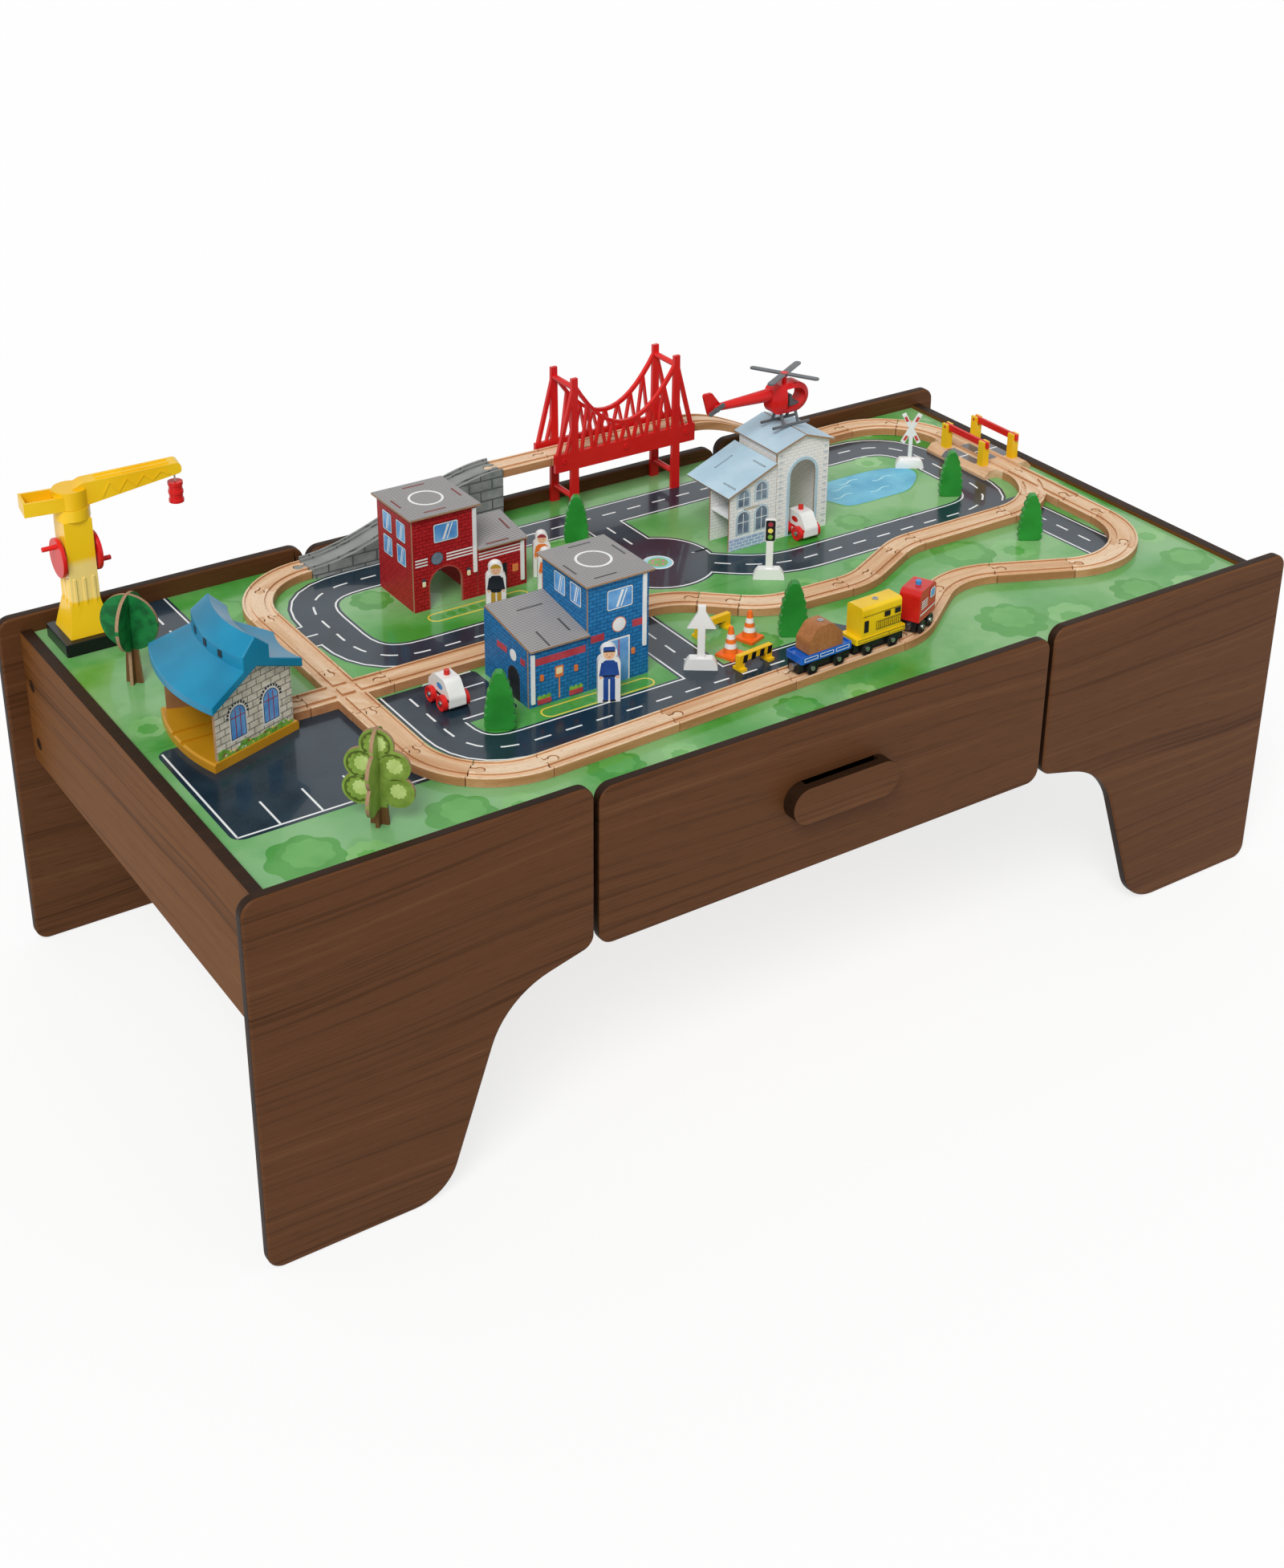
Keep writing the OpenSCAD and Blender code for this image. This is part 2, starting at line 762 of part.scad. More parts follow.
module level_crossing_base() {
  color(beech) placed() at_point(turnout_root, level_turn)
      difference() {
        union() {
          along(level_l, joint_gap / 2) plain_section();
          translate([(level_l - wing_l) / 2, 0, 0])
            along(wing_l, 0) {
              level_wing();
              mirror([1, 0]) level_wing();
            }
          translate([(level_l - pad_l) / 2, 0, 0]) along(pad_l, 0)
              translate([(groove_w - gauge) / 2 + seat_gap, 0])
                square([gauge - groove_w - 2 * seat_gap, track_t + pad_rise]);
          rotate([0, 0, 180]) peg();
          translate([level_l, 0, 0]) peg();
        }
        along(level_l, -over) groove_section();
        translate([level_l / 2, 0, 0]) post_bases(run_gap);
      }
}

// Each barrier has a forked pivot post, in which its pins turn, and a forked rest post

module barrier_post(pivot) {
  fork_drop = arm_h + seat_gap + (pivot ? arm_t : 0);
  difference() {
    union() {
      translate([-post_w / 2, -post_w / 2, 0]) cube([post_w, post_w, post_h]);
      translate([0, 0, -post_sink]) cylinder(d = post_w - 2 * cheek_t, h = post_sink + over);
    }
    translate([-post_w / 2 - over, -arm_t / 2 - seat_gap, post_h - fork_drop])
      cube([post_w + 2 * over, arm_t + 2 * seat_gap, fork_drop + over]);
    if (pivot)
      translate([0, post_w, arm_pivot_z]) rotate([90, 0, 0])
          cylinder(d = pivot_d + 2 * run_gap, h = 2 * post_w);
  }
}

module at_post(side, end) {
  at_point(turnout_root, level_turn)
    translate([level_l / 2 + end * level_l * post_place_share, side * (track_w / 2 + wing_w / 3), track_t])
      children();
}

module barrier_posts() {
  color(toy_yellow) placed()
    for (side = [-1, 1], end = [-1, 1])
      at_post(side, end) barrier_post(end > 0);
}

module barrier_arm() {
  tip_l = 2 * level_l * post_place_share + post_w / 2 + arm_over;
  back_l = post_w / 2;
  translate([0, -arm_t / 2, arm_pivot_z]) upright(arm_t) translate([-tip_l, -arm_h / 2])
        polygon(rounded(box_corners(tip_l + back_l, arm_h), [0, arm_h / 2, arm_h / 2, arm_h / 4]));
  translate([0, post_w / 2, arm_pivot_z]) rotate([90, 0, 0]) cylinder(d = pivot_d, h = post_w);
}

module near_barrier_arm() color(toy_red) placed() at_post(1, 1) barrier_arm();

module far_barrier_arm() color(toy_red) placed() at_post(-1, 1) barrier_arm();

// Ramps: the side view is an S-curve from the board up to the raised track

ramp_steps = 24;
ramp_wall = 3;
function ramp_rise(share) = deck_h * share * share * (3 - 2 * share);
function ramp_line(length, lift) =
  [for (i = [0:ramp_steps]) [length * i / ramp_steps, lift + ramp_rise(i / ramp_steps)]];
function ramp_line_back(length, lift) =
  [for (i = [ramp_steps:-1:0]) [length * i / ramp_steps, lift + ramp_rise(i / ramp_steps)]];

module ramp_band(length, low, high, width) {
  translate([0, -width / 2, 0]) upright(width)
      polygon([each ramp_line(length, low), each ramp_line_back(length, high)]);
}

module ramp_grooves(length) {
  for (side = [-1, 1])
    translate([0, side * gauge / 2, 0])
      ramp_band(length, track_t - groove_d, track_t + over, groove_w);
}

// The wooden ramp is one bent plank, trimmed by half the joint's gap at both ends
module wooden_ramp() {
  color(beech) placed() at_point(wooden_ramp_start, rear_turn)
      difference() {
        union() {
          translate([joint_gap / 2, 0, 0])
            ramp_band(wood_l - joint_gap, 0, track_t, track_w);
          translate([wood_l, 0, deck_h]) peg();
        }
        ramp_grooves(wood_l);
        slot();
      }
}

// The stone-faced ramp is moulded, open underneath, with kerbs
kerb_h = 3;
ramp_w = track_w + 2 * ramp_wall;

module stone_ramp() {
  body_l = stone_l - joint_gap;
  color(stone_grey) placed() at_point(stone_ramp_end, rear_turn + 180)
      difference() {
        union() {
          translate([joint_gap / 2, -ramp_w / 2, 0]) upright(ramp_w)
              polygon([each ramp_line(body_l, track_t), [body_l, 0], [0, 0]]);
          for (side = [-1, 1])
            translate([joint_gap / 2, side * (ramp_w - ramp_wall) / 2, 0])
              ramp_band(body_l, track_t - over, track_t + kerb_h, ramp_wall);
          rotate([0, 0, 180]) peg();
        }
        translate([ramp_wall, -ramp_w / 2 + ramp_wall, -over]) upright(ramp_w - 2 * ramp_wall)
            polygon([
              each ramp_line(stone_l - 2 * ramp_wall, track_t + over - groove_d - ramp_wall),
              [stone_l - 2 * ramp_wall, 0], [0, 0]
            ]);
        ramp_grooves(stone_l);
        translate([stone_l, 0, deck_h]) rotate([0, 0, 180]) slot();
      }
}

// Bridge: two moulded sides with a hanging chain and a lattice, joined by round bars

girder_over = 5;
beam_d = 8;
girder_low = deck_h - beam_d;
girder_h = track_t + beam_d + girder_over;
chain_w = 5;
lattice_w = 3;
lattice_bays = 8;
chain_low_share = 0.6;
chain_top_share = 0.95;
tower_x = (span_l - towers_l) / 2;
tower_top_w_share = 0.7;
top_bar_share = 0.93;
foot_bar_share = 0.12;
inner_tie_share = 0.7;
beam_shares = [0.06, 0.5, 0.94];

function chain_z(share) =
  tower_h * (chain_low_share + (chain_top_share - chain_low_share) * pow(2 * share - 1, 2));
function chain_point(share) = [tower_x + towers_l * share, chain_z(share)];

module bridge_side_shape() {
  girder_mid = girder_low + girder_h / 2;
  translate([0, girder_low]) square([span_l, girder_h]);
  for (x = [tower_x, span_l - tower_x])
    polygon([
      [x - tower_w / 2, 0], [x + tower_w / 2, 0], [x + tower_w * tower_top_w_share / 2, tower_h],
      [x - tower_w * tower_top_w_share / 2, tower_h]
    ]);
  for (k = [0:2 * lattice_bays - 1])
    flat_bar(chain_point(k / (2 * lattice_bays)), chain_point((k + 1) / (2 * lattice_bays)), chain_w);
  for (k = [1:lattice_bays - 1])
    for (step = [-1, 1])
      flat_bar([tower_x + towers_l * (k + step / 2) / lattice_bays, girder_mid],
        chain_point(k / lattice_bays), lattice_w);
  for (turned = [0, 1])
    translate([turned * span_l, 0])
      mirror([turned, 0]) {
        flat_bar([chain_w / 2, girder_mid], [tower_x, tower_h * chain_top_share], chain_w);
        flat_bar([tower_x / 2, girder_mid], [tower_x, tower_h * inner_tie_share], lattice_w);
      }
}

module bridge_bar(x, z, d) {
  translate([x, bridge_inner_w / 2, z]) rotate([90, 0, 0]) cylinder(d = d, h = bridge_inner_w);
}

module bridge_frame() {
  color(toy_red) placed()
    at_point(bridge_start, rear_turn) {
      for (y = [-bridge_inner_w / 2 - bridge_side_t, bridge_inner_w / 2])
        translate([0, y, 0]) upright(bridge_side_t) bridge_side_shape();
      for (x = [tower_x, span_l - tower_x]) {
        bridge_bar(x, tower_h * top_bar_share, beam_d);
        bridge_bar(x, tower_h * foot_bar_share, beam_d);
      }
      for (share = beam_shares)
        bridge_bar(span_l * share, deck_h - beam_d / 2, beam_d);
    }
}

// Crane

crane_from_end = 46.84;
crane_share = 0.404;
crane_place = [crane_from_end - end_inner_x, crane_share * table_w];
boom_rest_turn = -8;
plinth_h = 42;
plinth_w = 52;
collar_d = 42;
collar_h = 14;
tower_wall = 4;
rib_w = 3;
axle_d = 5;
crank_up = 96;
crank_z = crane_base_h + crank_up;
crank_t = 5;
crank_slack = 0.8;
grip_d = 6;
grip_l = 16;
grip_throw_share = 0.3;
drum_d = 12;
pivot_pin_d = 10;
pivot_pin_l = 12;
collar_top = crane_base_h + crane_tower_h;
boom_h = 22;
boom_w = 22;
boom_tip_h = 13;
tray_w = 34;
tray_wall = 3;
tray_h = 17;
turret_d = 40;
cord_d = 2.2;
pulley_gap = 4;

module at_crane(turn = 0) {
  at_point(crane_place, turn) children();
}

module crane_base() {
  color(dark_plastic) placed() at_crane()
      difference() {
        translate([-crane_base_w / 2, -crane_base_w / 2, 0]) linear_extrude(crane_base_h)
            polygon(rounded(box_corners(crane_base_w, crane_base_w), same(tray_wall, 4)));
        translate([0, 0, crane_base_h - tower_wall]) linear_extrude(tower_wall + over)
            square(crane_tower_w + 2 * run_gap, center = true);
      }
}

// The tower is a square tube with corner ribs on a flared plinth
module crane_tower() {
  color(toy_yellow) placed() at_crane()
      difference() {
        union() {
          translate([0, 0, crane_base_h - tower_wall])
            linear_extrude(crane_tower_h + tower_wall - collar_h)
              square(crane_tower_w, center = true);
          translate([0, 0, crane_base_h]) rotate([0, 0, 45])
              cylinder(d1 = plinth_w * sqrt(2), d2 = crane_tower_w * sqrt(2), h = plinth_h, $fn = 4);
          for (turn = [0:90:270], rib = [-1, 0, 1])
            rotate([0, 0, turn])
              translate([crane_tower_w / 2, rib * crane_tower_w / 3 - rib_w / 2, crane_base_h])
                cube([rib_w / 2, rib_w, crank_z - crane_base_h - crank_d / 2]);
          translate([0, 0, collar_top - collar_h]) cylinder(d = collar_d, h = collar_h);
        }
        translate([0, 0, crane_base_h]) linear_extrude(crane_tower_h - collar_h - tower_wall)
            square(crane_tower_w - 2 * tower_wall, center = true);
        translate([-crane_tower_w, 0, crank_z]) rotate([0, 90, 0])
            cylinder(d = axle_d + 2 * run_gap, h = 2 * crane_tower_w);
        translate([0, 0, collar_top - collar_h - tower_wall - over])
          cylinder(d = pivot_pin_d + 2 * run_gap, h = collar_h + tower_wall + 2 * over);
      }
}

// The winch: an axle with a drum inside and a disc with a grip at each end
module crane_crank() {
  disc_x = crane_tower_w / 2 + rib_w / 2 + crank_slack;
  color(toy_red) placed() at_crane() translate([0, 0, crank_z])
        rotate([0, 90, 0]) {
          translate([0, 0, -disc_x]) cylinder(d = axle_d, h = 2 * disc_x);
          translate([0, 0, tower_wall + crank_slack - crane_tower_w / 2])
            cylinder(d = drum_d, h = crane_tower_w - 2 * (tower_wall + crank_slack));
          for (side = [-1, 1])
            mirror([0, 0, side < 0 ? 1 : 0]) {
              translate([0, 0, disc_x]) cylinder(d = crank_d, h = crank_t);
              translate([side * crank_d * grip_throw_share, 0, disc_x])
                cylinder(d = grip_d, h = crank_t + grip_l);
            }
        }
}

// The boom: a turret over the collar, a ribbed arm to the tip and a tray behind
module crane_boom() {
  low = collar_top + seat_gap;
  arm_start = turret_d / 3;
  arm_end = boom_reach + boom_tip_h / 2;
  color(toy_yellow) placed()
    at_crane(boom_rest_turn) {
      translate([0, 0, low - pivot_pin_l]) cylinder(d = pivot_pin_d, h = pivot_pin_l + over);
      difference() {
        union() {
          translate([0, 0, low]) cylinder(d = turret_d, h = boom_h);
          translate([0, -boom_w / 2, low]) upright(boom_w)
              polygon(rounded(
                [
                  [0, 0], [arm_start, 0], [arm_end, boom_h], [arm_end, boom_h + boom_tip_h],
                  [boom_tip_h, boom_h + boom_tip_h / 2], [0, boom_h]
                ],
                [0, boom_tip_h, boom_tip_h / 3, boom_tip_h / 2, boom_tip_h, 0]
              ));
          translate([-boom_tail, -tray_w / 2, low]) cube([boom_tail, tray_w, tray_h]);
        }
        translate([tray_wall - boom_tail, tray_wall - tray_w / 2, low + tray_wall])
          cube([boom_tail - tray_wall - turret_d / 2, tray_w - 2 * tray_wall, tray_h]);
        translate([boom_reach, 0, low]) cylinder(d = pulley_gap, h = boom_h + boom_tip_h / 2);
      }
    }
}

// The cord leaves the tip's hollow; the barrel hangs on it
cord_top = collar_top + seat_gap + boom_h;
cord_low = cord_top - cord_l;

module crane_cord() {
  color(toy_white) placed() at_crane(boom_rest_turn) translate([boom_reach, 0, cord_low])
        cylinder(d = cord_d, h = cord_l + boom_tip_h / 2 - seat_gap);
}

module crane_load() {
  hoop_share = 0.9;
  hoop_h = load_h / 6;
  color(toy_red) placed() at_crane(boom_rest_turn)
      translate([boom_reach, 0, cord_low - load_h]) {
        cylinder(d = load_d * hoop_share, h = load_h);
        for (z = [0, (load_h - hoop_h) / 2, load_h - hoop_h])
          translate([0, 0, z]) cylinder(d = load_d, h = hoop_h);
      }
}

// Engine shed: its plan is a slice of a ring, wider at the far door

shed_in_r = shed_r - shed_l;
shed_near = sqrt(pow(shed_in_r, 2) - pow(track_w / 2, 2));
shed_centre = spur_end + [shed_near - seat_gap, 0];
shed_mid_r = (shed_r + shed_in_r) / 2;
shed_wall_t = 4;
shed_eave_out = 7;
shed_roof_extra = 2.6;
shed_fascia = 11;
shed_pitch_h = 30;
lantern_w = 40;
lantern_wall_h = 16;
floor_step = 2;

module shed_slice(angle) {
  translate([shed_centre.x, shed_centre.y, board_z]) rotate([0, 0, 180 - angle / 2])
      rotate_extrude(angle = angle) children();
}

module shed_base() {
  color(mustard) placed()
    difference() {
      shed_slice(shed_angle)
        polygon([
          [shed_in_r, 0], [shed_r, 0], [shed_r, shed_base_h - floor_step], [shed_r - floor_step, shed_base_h],
          [shed_in_r + floor_step, shed_base_h], [shed_in_r, shed_base_h - floor_step]
        ]);
      at_point(shed_centre, 180) translate([0, 0, shed_base_h - track_t])
          along(shed_r + over, -over) groove_section();
      at_point(spur_end, 180) slot();
    }
}

// The roof's underside, which the walls reach up to
function shed_under(r) =
  shed_eaves_h + shed_pitch_h * (1 - abs(r - shed_mid_r) / (shed_l / 2 + shed_eave_out));

module shed_walls() {
  inset = shed_wall_t + floor_step;
  in_x = shed_in_r + inset;
  out_x = shed_r - inset;
  color([0.80, 0.76, 0.66]) placed()
    for (side = [-1, 1])
      at_point(shed_centre, 180 + side * shed_angle / 2)
        translate([0, -side * (inset - shed_wall_t / 2) - shed_wall_t / 2, 0]) upright(shed_wall_t)
            polygon([
              [in_x, shed_base_h], [out_x, shed_base_h], [out_x, shed_under(out_x) - seat_gap],
              [shed_mid_r, shed_under(shed_mid_r) - seat_gap], [in_x, shed_under(in_x) - seat_gap]
            ]);
}

module shed_roof() {
  half = shed_l / 2 + shed_eave_out;
  eave_top = shed_eaves_h + shed_fascia;
  lantern_base = eave_top + (shed_pitch_h) * (1 - lantern_w / 2 / half);
  color(toy_blue) placed() shed_slice(shed_angle + 2 * shed_roof_extra) translate([shed_mid_r, 0])
        polygon([
          [-half, shed_eaves_h], [0, shed_eaves_h + shed_pitch_h], [half, shed_eaves_h], [half, eave_top],
          [lantern_w / 2, lantern_base], [lantern_w / 2, lantern_base + lantern_wall_h],
          [lantern_w / 4, (lantern_base + lantern_wall_h + shed_top_h) / 2], [0, shed_top_h],
          [-lantern_w / 4, (lantern_base + lantern_wall_h + shed_top_h) / 2],
          [-lantern_w / 2, lantern_base + lantern_wall_h], [-lantern_w / 2, lantern_base],
          [-half, eave_top]
        ]);
}

// Card stations: walls and roofs are flat cards that stand edge to edge

fire_share = [-0.189, 0.192];
police_share = [-0.192, -0.201];
hospital_share = [0.105, 0.102];
arch_w_share = 0.5;
arch_h_share = 0.42;

module card_wall(w, h, door_w = 0, door_h = 0, door_x = 0) {
  upright(card_t)
    difference() {
      square([w, h]);
      if (door_w > 0)
        translate([door_x, 0]) {
          translate([-door_w / 2, -over]) square([door_w, door_h - door_w / 2 + over]);
          translate([0, door_h - door_w / 2]) circle(d = door_w);
        }
    }
}

module side_card(d, h) {
  translate([card_t, 0, 0]) rotate([0, 0, 90]) card_wall(d, h);
}

module flat_roof(w, d, z) {
  translate([-roof_over, -roof_over, z + seat_gap])
    cube([w + 2 * roof_over, d + 2 * roof_over, card_t]);
}

// A tower is a front card, two side cards and a flat roof, open at the back
module card_tower(w, d, h, door_w, door_h) {
  card_wall(w, h, door_w, door_h, w / 2);
  for (x = [0, w - card_t])
    translate([x, card_t + seat_gap, 0]) side_card(d - card_t - seat_gap, h);
}

// A lean-to wing: a front card, an end card with a sloping top and a sloping roof
module card_wing(w, d, h, rise, end_x) {
  slope = atan2(rise, d);
  card_wall(w, h);
  translate([end_x, card_t + seat_gap, 0]) rotate([0, 0, 90]) translate([0, -card_t, 0])
        upright(card_t)
          polygon([[0, 0], [d - card_t, 0], [d - card_t, h + rise * (1 - card_t / d)], [0, h]]);
  translate([0, 0, h]) rotate([slope, 0, 0]) translate([0, -roof_over, seat_gap])
        cube([w, d + roof_over, card_t]);
}

wing_rise_share = 0.16;

module fire_station() {
  wing_d_share = 0.72;
  wing_d = fire_d * wing_d_share;
  color(toy_red) placed()
    at_point(spot(fire_share), 0) {
      card_tower(fire_w, fire_d, fire_h, fire_w * arch_w_share, fire_h * arch_h_share);
      flat_roof(fire_w, fire_d, fire_h);
      translate([fire_w + seat_gap, 0, 0])
        card_wing(fire_wing_w, wing_d, fire_wing_h, wing_d * wing_rise_share, fire_wing_w - card_t);
    }
}

module police_station() {
  color(toy_blue) placed()
    at_point(spot(police_share), 0) {
      translate([police_wing_w + seat_gap, 0, 0]) {
        card_tower(police_w, police_d, police_h, police_w * arch_w_share / 2, police_h * arch_h_share);
        flat_roof(police_w, police_d, police_h);
      }
      card_wing(police_wing_w, police_d, police_wing_h, police_d * wing_rise_share, 0);
    }
}

// The hospital's tower has a gable, and its wing's roof rises towards the tower
gable_share = 0.17;
wing_climb_share = 0.42;

module gable_panel(side) {
  rise = hospital_w * gable_share;
  slope = atan2(rise, hospital_w / 2);
  translate([hospital_w / 2, -roof_over, hospital_h + rise]) mirror([side < 0 ? 1 : 0, 0, 0])
      rotate([0, slope, 0]) translate([0, 0, seat_gap])
          cube([hospital_w / 2 / cos(slope) + roof_over, hospital_d + 2 * roof_over, card_t]);
}

module hospital() {
  rise = hospital_w * gable_share;
  climb = hospital_wing_w * wing_climb_share;
  slope = atan2(climb, hospital_wing_w);
  arch_w = hospital_w * arch_w_share;
  color(toy_white) placed()
    at_point(spot(hospital_share), 0) {
      translate([hospital_wing_w + seat_gap, 0, 0]) {
        card_tower(hospital_w, hospital_d, hospital_h, arch_w, hospital_h * 2 * arch_h_share);
        translate([0, 0, hospital_h]) upright(card_t)
            polygon([[0, 0], [hospital_w, 0], [hospital_w / 2, rise]]);
        for (side = [-1, 1])
          gable_panel(side);
      }
      upright(card_t)
        polygon([
          [0, 0], [hospital_wing_w, 0], [hospital_wing_w, hospital_wing_h + climb], [0, hospital_wing_h]
        ]);
      translate([0, hospital_d / 2, 0]) card_wall(hospital_wing_w, hospital_wing_h - card_t);
      translate([0, -roof_over, hospital_wing_h]) rotate([0, -slope, 0])
          translate([-roof_over, 0, seat_gap])
            cube([hospital_wing_w / cos(slope) + roof_over - card_t, hospital_d + 2 * roof_over, card_t]);
    }
}

// Helicopter: an open cabin, a tail boom, skids and two rotors

heli_x = spot(hospital_share).x + hospital_wing_w + seat_gap + hospital_w / 2;
heli_y = spot(hospital_share).y + hospital_d / 2;
gable_top = hospital_h + hospital_w * gable_share + (card_t + seat_gap) * cos(atan(2 * gable_share));
skid_d = 4;
skid_h = 14;
skid_w = 26;
skid_splay = 25;
cabin_w = 30;
cabin_h = 40;
cabin_wall_share = 0.16;
tail_d = 9;
fin_h = 22;
fin_t = 4;
mast_h = 8;
mast_d = 6;
hub_d = 10;
hub_h = 5;
blade_w = 9;
blade_t = 2;
blades = 4;
tail_rotor_d = 26;
tail_pin_d = 3;
cabin_z = skid_d + skid_h;
mast_x = -4;
mast_top = cabin_z + cabin_h + mast_h;
tail_z = cabin_z + cabin_h * 2 / 3;
tail_end = -cabin_l / 2 - tail_l;

module at_helicopter() {
  at_point([heli_x, heli_y], 0) translate([0, 0, gable_top]) children();
}

module cabin_outline(shrink) {
  translate([shrink - cabin_l / 2, cabin_z + shrink])
    polygon(rounded(box_corners(cabin_l - 2 * shrink, cabin_h - 2 * shrink),
      [cabin_h / 3, cabin_h / 2 - shrink, cabin_h / 2 - shrink, cabin_h / 3]));
}

module helicopter_body() {
  wall = cabin_h * cabin_wall_share;
  color(toy_red) placed()
    at_helicopter() {
      difference() {
        translate([0, -cabin_w / 2, 0]) upright(cabin_w) cabin_outline(0);
        translate([0, -cabin_w, 0]) upright(2 * cabin_w)
            intersection() {
              cabin_outline(wall);
              translate([0, cabin_z]) square([cabin_l, cabin_h]);
            }
        translate([mast_x, 0, cabin_z + cabin_h - mast_h])
          cylinder(d = mast_d + 2 * run_gap, h = 2 * mast_h);
      }
      difference() {
        union() {
          translate([wall - cabin_l / 2, 0, tail_z]) rotate([0, -90, 0])
              cylinder(d1 = 2 * tail_d, d2 = tail_d, h = tail_l + wall);
          translate([tail_end, -fin_t / 2, tail_z]) upright(fin_t)
              polygon(rounded(
                [[-tail_d, -tail_d], [tail_d, -tail_d / 2], [tail_d, tail_d / 2], [-tail_d / 2, fin_h],
                  [-2 * tail_d, fin_h]],
                same(tail_d / 3, 5)
              ));
        }
        translate([0, -cabin_w / 2, 0]) upright(cabin_w) cabin_outline(0);
        translate([tail_end, tail_d, tail_z]) rotate([90, 0, 0])
            cylinder(d = tail_pin_d + 2 * run_gap, h = 2 * tail_d);
      }
      for (side = [-1, 1]) {
        translate([-cabin_l / 2, side * skid_w / 2, skid_d / 2]) rotate([0, 90, 0])
            cylinder(d = skid_d, h = cabin_l);
        for (x = [-cabin_l / 5, cabin_l / 5])
          translate([x, side * skid_w / 2, skid_d / 2]) rotate([side * skid_splay, 0, 0])
              cylinder(d = skid_d, h = skid_h + skid_d);
      }
    }
}

module helicopter_rotor() {
  blade_r = rotor_d / 2;
  color(stone_grey) placed()
    at_helicopter() {
      translate([mast_x, 0, mast_top - 2 * mast_h + seat_gap]) cylinder(d = mast_d, h = 2 * mast_h);
      translate([mast_x, 0, mast_top]) cylinder(d = hub_d, h = hub_h);
      for (k = [0:blades - 1])
        translate([mast_x, 0, mast_top + hub_h / 2]) rotate([0, 0, 30 + 360 * k / blades])
            translate([0, -blade_w / 2, 0]) linear_extrude(blade_t)
                polygon(rounded(box_corners(blade_r, blade_w), [0, blade_w / 2, blade_w / 2, 0]));
    }
}

module helicopter_tail_rotor() {
  rotor_y = tail_d * 2 / 3 + seat_gap;
  color(stone_grey) placed() at_helicopter() translate([tail_end, 0, tail_z])
        rotate([90, 0, 0]) {
          translate([0, 0, -tail_d / 2]) cylinder(d = tail_pin_d, h = rotor_y + tail_d / 2);
          translate([0, 0, rotor_y]) cylinder(d = hub_d / 2, h = blade_t * 2);
          for (k = [0, 1])
            rotate([0, 0, 25 + 180 * k]) translate([0, -blade_w / 3, rotor_y])
                linear_extrude(blade_t)
                  polygon(rounded(box_corners(tail_rotor_d / 2, blade_w * 2 / 3), [0, blade_w / 4, blade_w / 4, 0]));
        }
}

// Train: the wagons stand in the track's grooves along the front stretch

axle_pin_d = 3.4;
axle_z = track_t - groove_d + run_gap + wheel_d / 2;
wheel_side_gap = 0.5;
chassis_w = gauge - wheel_w - 2 * wheel_side_gap;
chassis_drop = 4;
wheel_top_gap = 0.6;
floor_z = axle_z + wheel_d / 2 + wheel_top_gap;
hub_pin_d = 6;
hub_pin_l = 1;
hitch_d = 9;
hitch_l = 3;
axle_inset_share = 0.24;
axle_x = wagon_l * (1 / 2 - axle_inset_share);
deck_t = 7;
hitch_gap = 1;
engine_back = 35.6;
engine_h = 72;
fire_wagon_l = 46;
fire_axle_x = 11;
fire_wagon_h = 66;
fire_arc = 41.7;

front_line = exit_of(loop, 2);
front_dir = unit(entry_of(loop, 3) - front_line);
front_turn = heading(front_line, entry_of(loop, 3));
engine_place = entry_of(loop, 3) - front_dir * engine_back;
flat_place = engine_place - front_dir * (wagon_l + 2 * hitch_l + hitch_gap);
fire_turn = fire_arc / bend_r * 180 / PI;

module at_flat() at_point(flat_place, front_turn) children();

module at_engine() at_point(engine_place, front_turn) children();

module at_fire_wagon() at_point(entry_of(loop, 3), front_turn) bend_end(fire_turn) children();

module wheelset(d, w, track, pin_d) {
  reach = track / 2 + w / 2;
  rotate([90, 0, 0]) {
    translate([0, 0, -reach]) cylinder(d = pin_d, h = 2 * reach);
    for (side = [-1, 1])
      mirror([0, 0, side < 0 ? 1 : 0]) translate([0, 0, reach - w])
          difference() {
            union() {
              cylinder(d = d, h = w);
              cylinder(d = hub_pin_d, h = w + hub_pin_l);
            }
            translate([0, 0, w - hub_pin_l])
              difference() {
                cylinder(d = d * 3 / 4, h = hub_pin_l + over);
                translate([0, 0, -over]) cylinder(d = hub_pin_d, h = 2 * hub_pin_l + 2 * over);
              }
          }
  }
}

// A black chassis with axle bores and a magnet hitch at each end
module chassis(length, spread) {
  low = axle_z - chassis_drop;
  difference() {
    union() {
      translate([-length / 2, -chassis_w / 2, low]) cube([length, chassis_w, floor_z - low]);
      translate([-length / 2 - hitch_l, 0, (low + floor_z) / 2]) rotate([0, 90, 0])
          cylinder(d = hitch_d, h = length + 2 * hitch_l);
    }
    for (x = [-spread, spread])
      translate([x, chassis_w, axle_z]) rotate([90, 0, 0])
          cylinder(d = axle_pin_d + 2 * run_gap, h = 2 * chassis_w);
  }
}

module body_block(length, width, low, high, r) {
  translate([-length / 2, -width / 2, low]) linear_extrude(high - low)
      polygon(rounded(box_corners(length, width), same(r, 4)));
}

